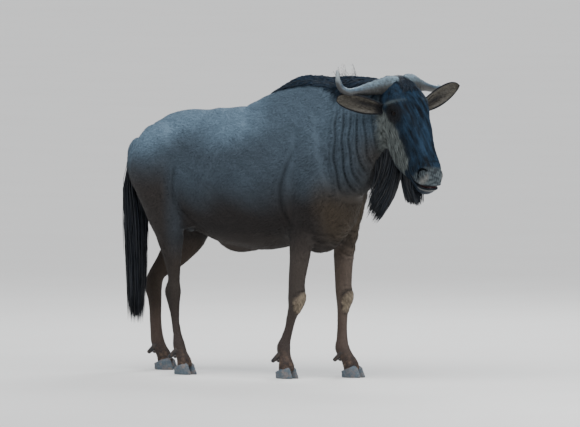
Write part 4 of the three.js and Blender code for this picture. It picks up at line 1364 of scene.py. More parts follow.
@dataclass(frozen=True)
class Skin:
    """The one skin that covers trunk, neck, head and legs.

    Args:
        voxel: Size of the first mesh, mm.
        passes: Smoothing passes over the whole skin.
    """

    voxel: float = 10.0
    passes: int = 6
    trunk: Rows = (
        (-696, 1078, 890, 84, 0.1),
        (-625, 1136, 800, 150, 0.15),
        (-530, 1192, 745, 188, 0.2),
        (-420, 1228, 712, 204, 0.2),
        (-290, 1238, 650, 216, 0.15),
        (-140, 1249, 598, 232, 0.15),
        (10, 1263, 580, 236, 0.2),
        (110, 1305, 600, 226, 0.32),
        (210, 1348, 614, 208, 0.42),
        (310, 1373, 598, 190, 0.45),
        (405, 1352, 566, 166, 0.4),
        (475, 1270, 625, 125, 0.3),
    )  # x, height of back and belly, half width, egg
    neck: Rows = (
        (362, 0, 1068, 286, 164, 0.4),
        (448, 0, 1109, 276, 145, 0.42),
        (545, -2, 1164, 228, 122, 0.4),
        (640, -6, 1215, 180, 100, 0.32),
        (712, -12, 1256, 140, 84, 0.25),
    )
    dock: Rows = (
        (-664, 0, 1062, 30, 32),
        (-712, 0, 1052, 29, 31),
        (-738, 0, 1000, 24, 26),
        (-736, 0, 900, 19, 21),
        (-728, 0, 780, 15, 16),
        (-720, 0, 640, 10, 11),
    )
    sheath: Rows = (
        (-30, 0, 604, 28, 34),
        (-110, 0, 592, 27, 28),
        (-170, 0, 596, 25, 24),
        (-225, 0, 622, 24, 24),
    )
    scrotum: Rows = ((-410, 0, 720, 40, 44), (-404, 0, 684, 36, 42))
    flank: Rows = ((-232, 158, 742, 40, 22), (-312, 146, 722, 44, 30), (-400, 130, 700, 46, 36))

    def lofts(self) -> list[Surface]:
        """Tubes of trunk, neck, legs, tail root and head that the skin is drawn over.

        Returns:
            Closed surfaces that overlap.
        """
        grow = -COAT_DEPTH
        trunk = [
            (x, 0, (back + belly) / 2, (back - belly) / 2, half, egg)
            for x, back, belly, half, egg in self.trunk
        ]
        made = [
            Sweep(stations(trunk), caps=(0.5, 0.6)).surface(72, 6, grow),
            Sweep(stations(self.neck), caps=(0.3, 0.2)).surface(64, 6, grow),
            Sweep(stations(self.dock)).surface(24, 5, -2.0),
            Sweep(stations(self.sheath)).surface(24, 5, grow),
            Sweep(stations(self.scrotum), caps=(0.5, 0.9)).surface(28, 5, grow),
            SKULL.surface(64, 5, -THIN_COAT),
        ]
        for side in Side:
            rows = [(x, y * side.value, z, deep, wide) for x, y, z, deep, wide in self.flank]
            made.append(Sweep(stations(rows)).surface(24, 6, grow))
            made.append(ball(EyeAxes(side).centre, SKULL.axes, [SKULL.eye_radius + SKULL.lid - 0.5] * 3))
            made += self.face_forms(side)
        for limb in LIMBS:
            made.append(Sweep(limb.rows(), caps=(0.6, 0.0)).surface(40, 4, -THIN_COAT))
        return made

    @staticmethod
    def face_forms(side: Side) -> list[Surface]:
        """Brow ridge and nostril pad of one side.

        Args:
            side: Side of the head.

        Returns:
            Two closed surfaces.
        """
        down, _, out = SKULL.eye
        rows = []
        for step in np.linspace(-1, 1, 7):
            reach = SKULL.half_width(down - 27.0, out + 6.0) - 5 - 3 * step * step
            spot = SKULL.at(down - 27 + 12 * step * step, side.value * reach, out + 6 + 26 * step)
            size = 9 * (1 - 0.35 * step * step)
            rows.append((*spot, size, size))
        low, ahead = SKULL.nostril
        centre = SKULL.at(low, side.value * (SKULL.half_width(low, ahead) - 16), ahead)
        pad = SKULL.nostril_pad
        return [
            Sweep(stations(rows), across=SKULL.down).surface(16, 3, -1.0),
            ball(centre, SKULL.axes, (pad, pad * 0.75, pad * 1.1)),
        ]

    def remeshed(self) -> Surface:
        """One closed mesh over all the tubes.

        Returns:
            Its surface.
        """
        rough = make_object("skin_rough", Surface.joined(self.lofts()))
        change = rough.modifiers.new("cover", "REMESH")
        change.mode = "VOXEL"
        change.voxel_size = self.voxel * MM
        graph = bpy.context.evaluated_depsgraph_get()
        covered = bpy.data.meshes.new_from_object(rough.evaluated_get(graph))
        discard(rough)
        return take_surface(bpy.data.objects.new("skin_cover", covered))

    @staticmethod
    def refined(surface: Surface, inside: Array) -> Surface:
        """Splits the faces of a region into four.

        Args:
            surface: The surface.
            inside: Tells which vertices lie in the region.

        Returns:
            The finer surface.
        """
        thing = make_object("skin_part", surface)
        work = bmesh.new()
        work.from_mesh(thing.data)
        faces = [f for f in work.faces if all(inside[v.index] for v in f.verts)]
        edges = list({e for f in faces for e in f.edges})
        bmesh.ops.subdivide_edges(work, edges=edges, cuts=1, use_grid_fill=True)
        bmesh.ops.triangulate(work, faces=[f for f in work.faces if len(f.verts) > 4])
        work.to_mesh(thing.data)
        work.free()
        return take_surface(thing)

    @staticmethod
    def head_zone(points: Array) -> Array:
        """Places on the head and the folded side of the neck.

        Args:
            points: Places in millimetres.

        Returns:
            One truth a place.
        """
        x, y, z = points.T
        neck = (x > 470) & (z > 800) & (z < NECK_FOLDS.top) & (np.abs(y) > 45)
        return neck | SKULL.covers(points, 735, -40, 130)

    @staticmethod
    def detail_zone(points: Array) -> Array:
        """Places round the eyes, the nostrils and the mouth.

        Args:
            points: Places in millimetres.

        Returns:
            One truth a place.
        """
        down, side, out = SKULL.local(points).T
        wide = np.abs(side)
        eye = (np.hypot(down - SKULL.eye[0], out - SKULL.eye[2]) < 36) & (wide > 50) & (wide < 125)
        return eye | ((down > 428) & (out < 48) & (points[:, 0] > MUZZLE_X))

    def build(self) -> Surface:
        """Makes the finished skin.

        Returns:
            Its surface, closed and smooth.
        """
        surface = self.remeshed()
        x, _, z = surface.points.T
        surface.relax(self.passes, np.where(SKULL.covers(surface.points, top=-20, half=np.inf), 0.5, 1.0))
        blend = rises(z, LEG_TOP, 680) * (1 - rises(x, 700, 740)) * (1 - rises(-x, 690, 725))
        surface.relax(34, blend)
        for zone, passes, share in ((self.head_zone, 3, 0.8), (self.detail_zone, 2, 0.7)):
            surface = self.refined(surface, zone(surface.points))
            surface.relax(passes, zone(surface.points) * share)
        normals = surface.normals()
        surface.points += normals * self.relief(surface.points, normals)[:, None]
        self.open_eyes(surface)
        return surface

    def relief(self, points: Array, normals: Array) -> Array:
        """How far each place of the skin rises, in millimetres.

        Args:
            points: Places.
            normals: Outward directions there.

        Returns:
            One rise a place.
        """
        x, _, z = points.T
        rise = -NECK_FOLDS.depth * NECK_FOLDS.creases(points) - BODY_FOLDS.depth * BODY_FOLDS.creases(points)
        rise += 5 * bump(np.hypot(x + 250, z - 1190), 0, 50) - 4 * bump(np.hypot(x + 285, z - 1160), 0, 34)
        ribs = rises(x, -260, -180) * falls(x, -120, -60) * bump(z, 960, 170)
        rise += 1.6 * np.sin((x - 0.5 * z) / 10.5) * ribs
        rise += (1.2 * folded(points, 21, 90) + 0.25 * folded(points, 22, 28)) * rises(z, LEG_TOP, 640)
        return rise + self.leg_relief(points, normals) + self.head_relief(points)

    @staticmethod
    def leg_relief(points: Array, normals: Array) -> Array:
        """Tendons, veins, wrinkles and knee pads of the legs.

        Args:
            points: Places.
            normals: Outward directions there.

        Returns:
            One rise a place.
        """
        x, y, z = points.T
        ahead = normals[:, 0]
        tendon = -2.6 * bump(ahead, -0.25, 0.22) * rises(z, 150, 190) * falls(z, 270, 310) * (ahead < 0.15)
        facing = rises(ahead, 0.1, 0.6) * (x > 0)
        waves = 1.2 * np.sin(z / 3.6 + 0.6 * folded(points, 24, 60))
        wrinkles = waves * (bump(z, 412, 12) + bump(z, 152, 16)) * facing
        strings = np.sin((y + 0.06 * z + 5 * folded(points, 23, 130)) / 6.0)
        veins = 1.1 * bump(strings, 1, 0.5) * bump(z, 470, 90)
        pad = 3.0 * (1 - rises(Markings.knee_oval(points), 0.8, 1.05)) * (1 + 0.2 * np.sin(z / 3.0))
        return (tendon + wrinkles + veins + pad) * (z < LEG_TOP)

    @staticmethod
    def head_relief(points: Array) -> Array:
        """Eye folds, lips, mouth, nostrils and the veins of the face.

        Args:
            points: Places.

        Returns:
            One rise a place.
        """
        down, side, out = SKULL.local(points).T
        wide = np.abs(side)
        spread = np.hypot(down - SKULL.eye[0], out - SKULL.eye[2])
        beside = 2.5 * FaceFolds.brow(down, out, 9) - 3.0 * FaceFolds.gland(down, out, 12)
        beside -= 1.8 * FaceFolds.arcs(spread)
        line, inside, _ = MOUTH.measures(points)
        lips = 3.0 * bump(line, 6.0, 4.5) * rises(down, 432, 470) - MOUTH.depth * inside
        slit = -NOSTRILS.depth * NOSTRILS.slit(points)
        folds = 1.6 * FaceFolds.ripples(down, out) * bump(down, 476, 26) * bump(out, -4, 26) * (wide > 30)
        veins = 1.2 * bump(out + 62 - 0.12 * down + 5 * folded(points, 25, 60), 0, 6) * bump(down, 300, 70)
        return SKULL.covers(points, 735, -20) * (beside * (wide > 40) + lips + slit + folds + veins)

    @staticmethod
    def open_eyes(surface: Surface) -> None:
        """Sinks the skin between the lids behind each eyeball and wraps it over the ball beside them.

        Args:
            surface: The skin, changed in place.
        """
        for side in Side:
            eye = EyeAxes(side)
            u, w, v = ((surface.points - eye.centre) @ eye.axes.T).T
            lens = (u / SKULL.opening[0]) ** 2 + (v / SKULL.opening[1]) ** 2
            near = (w > 0) & (u**2 + v**2 + w**2 < 48**2)
            flat = u**2 + v**2
            sunk = np.sqrt(np.maximum((SKULL.eye_radius - 5) ** 2 - flat, 0))
            dome = np.sqrt(np.maximum((SKULL.eye_radius + 1.8) ** 2 - flat, 12**2))
            moved = np.where(lens < 1, sunk, dome + (w - dome) * rises(lens, 1.0, 2.8))
            surface.points += (near * (moved - w))[:, None] * eye.outward


@dataclass
class EyeAxes:
    """Middle of one eyeball and its directions: along the slit, outward and across the slit."""

    side: Side

    def __post_init__(self) -> None:
        """Turns the head's axes to the slant of the slit."""
        turn = math.radians(SKULL.opening_turn_deg)
        self.outward = SKULL.left * self.side.value
        across = SKULL.down * math.cos(turn) - SKULL.out * math.sin(turn)
        along = SKULL.down * math.sin(turn) + SKULL.out * math.cos(turn)
        self.axes = np.stack([along, self.outward, across])
        self.centre = SKULL.eye_centre(self.side) + self.outward * SKULL.eye_bulge


@dataclass(frozen=True)
class Limb:
    """Stations of one leg, from the body to the coronet.

    Args:
        name: Node name of the leg.
        spread: Y of the line of the foot.
        foot: X of the sole's middle and turn of the foot in degrees.
        table: Rows of x, z, offset outward, half depth and half width.
    """

    name: str
    spread: float
    foot: tuple[float, float]
    table: Rows

    def rows(self) -> Array:
        """Stations of the leg's tube."""
        side = math.copysign(1.0, self.spread)
        return stations((x, self.spread + side * out, z, deep, wide) for x, z, out, deep, wide in self.table)


FORELEG_RIGHT = (
    ((285, 1255, -60, 62, 26), (318, 1150, -20, 90, 46), (352, 1020, 6, 106, 62), (362, 900, 24, 108, 68))
    + ((338, 790, 14, 90, 60), (306, 700, 4, 72, 52), (303, 625, 0, 61, 47), (295, 550, 0, 50, 42))
    + ((281, 455, 0, 42, 37), (280, 408, 0, 42, 40), (281, 375, 0, 45, 42), (268, 325, 0, 33, 33))
    + ((252, 288, 0, 26, 26), (238, 236, 0, 23, 22), (219, 182, 0, 26, 26), (206, 142, 0, 34, 34))
    + ((213, 100, 0, 30, 33), (221, 64, 0, 37, 37), (224, 30, 0, 40, 38))
)
FORELEG_LEFT = (
    ((300, 1255, -60, 62, 26), (330, 1150, -20, 90, 46), (366, 1020, 6, 106, 62), (386, 900, 24, 108, 68))
    + ((388, 790, 14, 90, 60), (386, 700, 4, 74, 52), (384, 625, 0, 61, 47), (377, 550, 0, 51, 42))
    + ((375, 455, 0, 43, 37), (377, 408, 0, 41, 40), (383, 375, 0, 43, 42), (375, 325, 0, 31, 33))
    + ((371, 288, 0, 27, 26), (369, 236, 0, 26, 24), (368, 176, 0, 29, 28), (370, 132, 0, 37, 34))
    + ((394, 96, 0, 33, 33), (416, 62, 0, 38, 37), (424, 30, 0, 40, 38))
)
HINDLEG_RIGHT = (
    ((-446, 1128, -62, 84, 50), (-468, 1070, -24, 146, 72), (-480, 960, 2, 164, 80), (-466, 850, 8, 140, 72))
    + ((-446, 750, 8, 106, 62), (-430, 660, 6, 78, 54), (-419, 580, 2, 57, 42), (-411, 500, 0, 39, 31))
    + ((-407, 440, 0, 31, 28), (-413, 385, 0, 44, 31), (-409, 335, 0, 34, 27), (-403, 290, 0, 26, 23))
    + ((-398, 240, 0, 22, 20), (-388, 185, 0, 23, 22), (-378, 132, 0, 31, 31), (-364, 96, 0, 29, 31))
    + ((-350, 62, 0, 36, 35), (-345, 30, 0, 39, 36))
)
HINDLEG_LEFT = (
    ((-446, 1128, -62, 84, 50), (-474, 1070, -24, 146, 72), (-494, 960, 2, 164, 80), (-500, 850, 8, 142, 72))
    + ((-506, 750, 8, 116, 64), (-510, 660, 6, 110, 56), (-560, 580, 2, 88, 46), (-628, 505, 0, 62, 36))
    + ((-686, 448, 0, 43, 31), (-708, 392, 0, 47, 32), (-702, 335, 0, 38, 29), (-698, 290, 0, 34, 26))
    + ((-697, 240, 0, 32, 25), (-693, 185, 0, 32, 26), (-685, 132, 0, 35, 31), (-667, 96, 0, 33, 32))
    + ((-646, 62, 0, 37, 35), (-640, 30, 0, 39, 36))
)
LIMBS = (
    Limb("foreleg_right", -FORE_SPREAD, (228, -6), FORELEG_RIGHT),
    Limb("foreleg_left", FORE_SPREAD, (434, 4), FORELEG_LEFT),
    Limb("hindleg_right", -HIND_SPREAD, (-340, -6), HINDLEG_RIGHT),
    Limb("hindleg_left", HIND_SPREAD, (-634, 6), HINDLEG_LEFT),
)


@dataclass
class Eye:
    """Eyeball with its pupil, and the lids round it.

    Args:
        side: Which eye.
    """

    side: Side

    def build(self, finish: Material, hide: Material) -> None:
        """Makes the eyeball and its lids.

        Args:
            finish: Finish of the eye.
            hide: Finish of the lids.
        """
        eye = EyeAxes(self.side)
        surface = ball(eye.centre, eye.axes[[0, 2, 1]], [SKULL.eye_radius] * 3, 64)
        u, _, v = ((surface.points - eye.centre) @ eye.axes.T).T
        paint = Paint(tone(13, 10, 10), surface.points)
        paint.toward(tone(14, 8, 5), falls(np.hypot(u, v), 12.5, 14.0))
        paint.toward(tone(4, 4, 6), falls(np.hypot(u / 8.5, v / 5.0), 0.9, 1.1))
        eyeball = make_object(f"eyeball_{self.side.label}", surface)
        add_tint(eyeball, paint.tint)
        finish_piece(eyeball, finish, [f"eye_{self.side.label}"])
        rim = self.lids(eye)
        lids = make_object(f"eyelids_{self.side.label}", rim)
        add_tint(lids, tone(7, 8, 10) + 0 * rim.points, np.full(len(rim.points), 0.4))
        finish_piece(lids, hide)

    @staticmethod
    def lids(eye: EyeAxes, sides: int = 10) -> Surface:
        """Rounded rim that follows the slit on the eyeball.

        Args:
            eye: Middle and directions of the eye.
            sides: Points round the rim.

        Returns:
            A closed ring.
        """
        turn = circle(56)
        length, height = SKULL.opening
        u = (length - 0.5) * np.cos(turn)
        v = height * np.sign(np.sin(turn)) * np.abs(np.sin(turn)) ** 1.25
        radius = SKULL.eye_radius + 0.9
        w = np.sqrt(radius**2 - np.minimum(u**2 + v**2, (radius - 1) ** 2))
        line = eye.centre + np.stack([u, np.maximum(w, 9.0), v], 1) @ eye.axes
        outward = unit(line - eye.centre)
        across = np.cross(outward, unit(np.roll(line, -1, 0) - np.roll(line, 1, 0)))
        angles = circle(sides)[None, :, None]
        thick = np.where(v < 0, 4.0, 3.2)[:, None, None]
        wide = np.cos(angles) * across[:, None] * thick
        rings = line[:, None] + wide + np.sin(angles) * outward[:, None] * 2.8
        near = np.arange(len(rings))[:, None] * sides + np.arange(sides)
        beyond = np.roll(near, -1, 1)
        quads = np.stack([near, beyond, np.roll(beyond, -1, 0), np.roll(near, -1, 0)], -1)
        return Surface(rings.reshape(-1, 3), quads.reshape(-1, 4))


@dataclass
class Horn:
    """One horn, from its boss on the poll to its tip.

    Args:
        side: Which horn.
    """

    side: Side
    right_rows: Rows = (
        ((22, 6, -14, 42), (60, -8, -12, 41), (98, -24, -20, 36), (146, -46, -30, 29), (196, -64, -40, 20))
        + ((236, -78, -43, 17.5), (266, -88, -28, 16.5), (283, -92, 4, 14), (287, -93, 34, 9))
    )  # sideways, forward, up and radius
    left_rows: Rows = (
        ((22, 6, -10, 42), (60, -8, -4, 41), (98, -24, -12, 36), (146, -44, -20, 28), (194, -58, -30, 20))
        + ((232, -70, -37, 17.5), (262, -76, -39, 15.5), (280, -80, -34, 13.5))
    )
    tips: tuple[float, float] = (26.0, 12.0)  # length beyond the last station, right and left
    oval: float = 0.92  # width as a share of the depth

    def build(self, finish: Material) -> None:
        """Makes the horn.

        Args:
            finish: Its finish.
        """
        right = self.side is Side.RIGHT
        table = self.right_rows if right else self.left_rows
        rows = [
            (*SKULL.from_poll(self.side.value * reach, forward, up), thick, thick * self.oval)
            for reach, forward, up, thick in table
        ]
        end = self.tips[0 if right else 1] / (table[-1][3] * self.oval)
        surface = Sweep(stations(rows), across=SKULL.ahead, caps=(0.2, end)).surface(48, 14, -0.4)
        reach = (surface.points - SKULL.origin) @ SKULL.left * self.side.value
        boss = 1 - rises(reach, 110, 190)
        normals = surface.normals()
        lumps = folded(surface.points, 31, 22) * 1.6 + folded(surface.points, 32, 9) * 0.7
        surface.points += normals * (lumps * boss)[:, None]
        paint = Paint(tone(88, 106, 118), surface.points)
        paint.toward(tone(52, 76, 94), rises(reach, 120, 200))
        paint.times(1 + 0.45 * folded(surface.points, 18, 13))
        # Painted shade: the horn darkens on its sides and underside as the surface turns downward.
        paint.toward(tone(30, 27, 25), 0.95 * falls(normals[:, 2], -0.2, 0.6))
        # Painted highlight on the upward-facing top of the horn.
        paint.toward(tone(134, 158, 174), 0.55 * rises(normals[:, 2], 0.5, 0.95))
        high = rises(surface.points[:, 2] - SKULL.origin[2], -10, 40)
        paint.toward(tone(138, 146, 150), high * rises(reach, 250, 270) if right else rises(reach, 262, 284))
        horn = make_object(f"horn_{self.side.label}_shell", surface)
        add_tint(horn, paint.tint, boss)
        finish_piece(horn, finish, [f"horn_{self.side.label}"])


@dataclass
class Ear:
    """Leaf-shaped ear, cupped toward its open side.

    Args:
        side: Which ear.
    """

    side: Side
    length: float = 222.0
    width: float = 84.0
    thick: float = 5.0
    cup: float = 26.0
    roots: tuple[Triple, Triple] = ((100, 92, -66), (106, 102, -60))
    points: tuple[Triple, Triple] = ((0.88, -0.4, 0.2), (0.84, 0.36, 0.48))
    faces: tuple[Triple, Triple] = ((0.35, 0.85, -0.2), (-0.5, 0.8, -0.3))

    def __post_init__(self) -> None:
        """Works out the ear's own axes."""
        which = 0 if self.side is Side.RIGHT else 1
        turned = np.stack([SKULL.left * self.side.value, SKULL.ahead, UP])
        self.along = unit(np.array(self.points[which]) @ turned)
        open_way = np.array(self.faces[which]) @ turned
        self.open = unit(open_way - self.along * (open_way @ self.along))
        self.across = np.cross(self.along, self.open)
        down, side, out = self.roots[which]
        self.base = SKULL.at(down, self.side.value * side, out)

    def half_width(self, share: Array) -> Array:
        """Half width at a share of the ear's length.

        Args:
            share: Place along it, from 0 to 1.

        Returns:
            Half width in millimetres.
        """
        narrow = 0.55 + 0.45 * np.sin(np.minimum(1, share / 0.5) * (np.pi / 2))
        past = np.maximum(0, (share - 0.5) / 0.5)
        return self.width / 2 * narrow * np.sqrt(np.maximum(1 - past**2.2, 0.01))

    def depth(self, share: Array) -> Array:
        """Thickness at a share of the ear's length."""
        return self.thick * (1 - 0.55 * share)

    def spot(self, share: Array, place: Array, depth: Array) -> Array:
        """Place on the ear.

        Args:
            share: Place along it, from 0 to 1.
            place: Place across it, from -1 to 1.
            depth: Distance in from its back, mm.

        Returns:
            Points.
        """
        wrap = 1.35 - 0.9 * share
        radius = self.half_width(share) / np.sin(wrap)
        angle = wrap * place
        aside = np.sin(angle) * (radius - depth)
        inward = radius * (1 - 0.5 * share) - np.cos(angle) * (radius - depth)
        along = self.base + share[..., None] * self.length * self.along
        return along + aside[..., None] * self.across + inward[..., None] * self.open

    def build(self, hide: Material, hair: Material) -> None:
        """Makes the ear and the hair along its rim and inside.

        Args:
            hide: Finish of the ear.
            hair: Finish of its hair.
        """
        rows, columns = 44, 24
        sweep = np.concatenate([np.linspace(-1, 1, columns + 1), np.linspace(1, -1, columns + 1)[1:-1]])
        front = np.concatenate([np.zeros(columns + 1), np.ones(columns - 1)])
        share = np.linspace(0, 0.985, rows)[:, None] * np.ones(len(sweep))
        ridges = 1.6 * np.cos(sweep * 9.0) * front * rises(share, 0.05, 0.3) * (1 - rises(share, 0.6, 0.9))
        rings = self.spot(share, sweep, front * self.depth(share) + ridges)
        tip = self.base + self.along * self.length + self.open * self.cup * 0.2
        surface = Surface.from_rings(rings, self.base - self.along * 9 + self.open * 6, tip)
        s = np.append(share.ravel(), [0, 1])
        a, inner = (np.append(np.tile(values, rows), [0, 0]) for values in (sweep, front))
        # streak: painted shade in the grooves between the ridges inside the ear.
        streak = 0.5 + 0.5 * np.cos(a * 9.0 + 3.0)
        rim = np.clip(rises(np.abs(a), 0.8, 0.96) + rises(s, 0.88, 0.97), 0, 1)
        paint = Paint(tone(60, 64, 66), surface.points)
        paint.toward(tone(80, 77, 72), inner)
        paint.toward(tone(36, 30, 28), 0.7 * inner * streak * bump(s, 0.4, 0.3))
        paint.toward(tone(26, 24, 26), 0.85 * inner * bump(a, 0.1, 0.28) * bump(s, 0.34, 0.26))
        paint.toward(tone(20, 22, 26), 0.85 * rim)
        # Painted shade in the deep hollow at the root of the ear.
        paint.toward(tone(14, 15, 20), inner * falls(s, 0.02, 0.24))
        ear = make_object(f"ear_{self.side.label}_leaf", surface)
        add_tint(ear, paint.tint)
        finish_piece(ear, hide, [f"ear_{self.side.label}"])
        self.hair(hair)

    def hair(self, finish: Material, count: int = 1500) -> None:
        """Fine hair that lies along the inside and the rim.

        Args:
            finish: Its finish.
            count: How many locks.
        """
        random = np.random.default_rng(40 + self.side.value)
        share = random.uniform(0.03, 0.93, count)
        on_rim = random.random(count) < 0.45
        rim = np.sign(random.random(count) - 0.5) * 0.97
        place = np.where(on_rim, rim, random.uniform(-0.95, 0.95, count))
        depth = self.depth(share)
        root = self.spot(share, place, depth)
        lie = unit(self.spot(share + 0.05, place * 0.96, depth) - root)
        lift = unit(self.open - 0.3 * place[:, None] * self.across)
        size = random.uniform(10, 20, count)[:, None]
        guides = [root - lift * 1.5, root + lie * size * 0.5 + lift * 2.5, root + lie * size + lift * 3.0]
        # dark: the dark zone of the middle of the ear, and painted shade in the hollow at its root.
        dark = bump(place, 0.1, 0.3) * bump(share, 0.34, 0.26) + falls(share, 0.04, 0.2)
        edge = tone(26, 26, 30)
        paint = Paint(tone(84, 80, 73), root)
        paint.toward(edge, 0.9 * np.clip(dark, 0, 1))
        colours = np.where((np.abs(place) > 0.9)[:, None], edge, paint.tint)
        colours = colours * random.uniform(0.7, 1.25, (count, 1))
        width = random.uniform(1.6, 2.8, count)
        places = np.stack([share, place / 2 + 0.5], 1)
        name = f"ear_{self.side.label}_hair"
        Locks(name, np.stack(guides, 1), width, 0.4, self.across, colours, 3, places).build(finish, "ear")


@dataclass(frozen=True)
class Foot:
    """Two claws and two dewclaws of one foot.

    Args:
        limb: The leg that they end.
    """

    limb: Limb
    length: float = 99.0
    width: float = 37.0
    split: float = 5.0
    height: float = 74.0
    toe: float = 0.55
    lean_deg: float = 24.0
    coronet: Triple = (62.0, 38.0, 40.0)  # height in front, at the heel, and reach
    levels: tuple[float, ...] = (0.0, 0.03, 0.08, 0.2, 0.35, 0.5, 0.65, 0.8, 0.9, 0.97, 1.03)
    dew: tuple[float, ...] = (44.0, 19.0, 106.0, 42.0, 16.0)  # back, apart, height, length, radius

    def claw(self, side: int) -> Surface:
        """One claw, with bulging walls, a rounded top and a level sole.

        Args:
            side: Sign of its place beside its partner.

        Returns:
            Its closed surface.
        """
        foot_x, turn_deg = self.limb.foot
        turn = math.radians(turn_deg)
        front, heel, reach = self.coronet
        ahead, beside = np.cos(circle(48)), np.sin(circle(48))
        top = (front + heel) / 2 + (front - heel) / (2 * reach) * (self.length / 2 * 0.74 * ahead - 14)
        lean = math.tan(math.radians(self.lean_deg)) * 0.55
        narrowing = 1 - self.toe * np.maximum(0, ahead) ** 2
        rings = []
        for share in self.levels:
            height = share * top
            tall = np.clip(height / self.height, 0, 1)
            rounding = 0.94 + 0.06 * min(1.0, share / 0.08) - 0.35 * max(0.0, share - 0.8) ** 1.4 / 0.11
            bulge = 1 + 0.02 * math.sin(share * 9)
            x = self.length / 2 * (1 - 0.26 * tall**1.5) * ahead * rounding * bulge - height * lean
            across = self.width / 2 * (1 - 0.1 * tall) * beside * narrowing * rounding
            y = side * (self.split / 2 + self.width / 2) + across
            spot_x = foot_x + x * math.cos(turn) - y * math.sin(turn)
            spot_y = self.limb.spread + x * math.sin(turn) + y * math.cos(turn)
            rings.append(np.stack([spot_x, spot_y, height], 1))
        stack = np.stack(rings)
        return Surface.from_rings(stack, stack[0].mean(0), stack[-1].mean(0) + 3.0 * UP)

    def dewclaw(self, side: int) -> Surface:
        """One dewclaw behind the fetlock.

        Args:
            side: Sign of its place beside its partner.

        Returns:
            Its closed surface.
        """
        back, apart, height, length, radius = self.dew
        ankle = self.limb.rows()[-3]
        root = np.array([ankle[0] - 12, self.limb.spread + side * (apart - 3), height + 8])
        tip = np.array([ankle[0] - back - 8, self.limb.spread + side * (apart + 3), height - length * 0.62])
        shares = (0.0, 0.45, 1.0)
        rows = [(*(root + (tip - root) * t), radius * (1 - 0.42 * t), radius * (1 - 0.3 * t)) for t in shares]
        return Sweep(stations(rows), caps=(0.5, 0.8)).surface(24, 8)

    def build(self, finish: Material, dark: Material) -> None:
        """Makes the claws and dewclaws of this foot.

        Args:
            finish: Finish of the claws.
            dark: Finish of the dewclaws.
        """
        for side in (-1, 1):
            inner = "inner" if side * self.limb.spread < 0 else "outer"
            place = f"{self.limb.name.replace('leg', '')}_{inner}"
            finish_piece(make_object(f"claw_{place}", self.claw(side)), finish, [f"hoof_{place}"])
            shape = self.dewclaw(side)
            spur = make_object(f"spur_{place}", shape)
            low = falls(shape.points[:, 2], 80, 110)
            paint = Paint(tone(42, 37, 35), shape.points)
            paint.toward(tone(18, 21, 26), low)
            add_tint(spur, paint.tint, 0.5 * low)
            finish_piece(spur, dark, [f"dewclaw_{place}"])


@dataclass
class Locks:
    """Many tapered locks of hair as one mesh.

    Args:
        name: Name of the piece.
        guides: Guide points of each lock from its root, as (lock, point, 3).
        width: Width of each lock, mm.
        flatness: Thickness as a share of the width.
        across: Direction that the width lies along, one for all or one for each lock.
        colours: Linear colour of each lock.
        rings: Rings from the root to near the tip.
        places: Place of each root on the bake map, from 0 to 1.
        shade: Brightness at the root and at the tip: painted shade toward the root and painted light toward
            the tip.
    """

    name: str
    guides: Array
    width: Array
    flatness: float
    across: Array
    colours: Array
    rings: int
    places: Array
    shade: tuple[float, float] = (0.72, 1.14)

    def surface(self) -> tuple[Surface, Array, Array]:
        """Points, faces and map places of all the locks.

        Returns:
            The surface, the share along the lock of each vertex, and map places of each vertex.
        """
        count = len(self.guides)
        shares = np.linspace(0, 0.86, self.rings)
        centres = curve_each(self.guides, shares)
        along = unit(curve_each(self.guides, np.minimum(shares + 0.02, 1)) - centres)
        across = np.broadcast_to(self.across, (count, 3))[:, None]
        side = unit(across - along * (along * across).sum(-1, keepdims=True))
        up = np.cross(along, side)
        taper = np.sin(np.pi * (0.3 + 0.62 * shares)) ** 0.9
        half = (self.width[:, None] / 2 * taper)[..., None]
        ridge = centres + up * (2 * half * self.flatness)
        rings = np.stack([centres + side * half, ridge, centres - side * half], 2)
        points = np.concatenate([rings.reshape(count, -1, 3), self.guides[:, -1:]], 1)
        below = np.arange(self.rings - 1)[:, None] * 3
        near, turned = ((below + np.array(corners)).ravel() for corners in ((0, 1, 2), (1, 2, 0)))
        quads = np.stack([near, turned, turned + 3, near + 3], 1)
        tip, last = self.rings * 3, (self.rings - 1) * 3
        caps = np.array([[0, 2, 1], [last, last + 1, tip], [last + 1, last + 2, tip], [last + 2, last, tip]])
        offsets = (np.arange(count) * (tip + 1))[:, None, None]
        faces = (quads + offsets).reshape(-1, 4), (caps + offsets).reshape(-1, 3)
        along_share = np.append(np.repeat(shares, 3), 1.0)
        across_share = np.append(np.tile([0.0, 0.5, 1.0], self.rings), 0.5)
        patch = np.stack([across_share, along_share], 1) * PATCH
        place = self.places[:, None] * (1 - PATCH) + patch[None]
        return Surface(points.reshape(-1, 3), *faces), np.tile(along_share, count), place.reshape(-1, 2)

    def build(self, finish: Material, slot: str, nodes: Sequence[str] = ()) -> None:
        """Makes the piece.

        Args:
            finish: Its finish.
            slot: Not used.
            nodes: Solids that it is shown instead of.
        """
        surface, share, places = self.surface()
        thing = make_object(self.name, surface)
        # Painted shade toward the root of each lock, painted light toward its tip.
        root, tip = self.shade
        shade = root + (tip - root) * share
        colours = np.repeat(self.colours, len(share) // len(self.colours), 0)
        add_tint(thing, colours * shade[:, None], 0.2 + 0 * share)
        layer = thing.data.uv_layers.new(name=BAKE_MAP)
        index = np.zeros(len(thing.data.loops), np.int32)
        thing.data.loops.foreach_get("vertex_index", index)
        layer.data.foreach_set("uv", places[index].astype(np.float32).ravel())
        finish_piece(thing, finish, nodes)


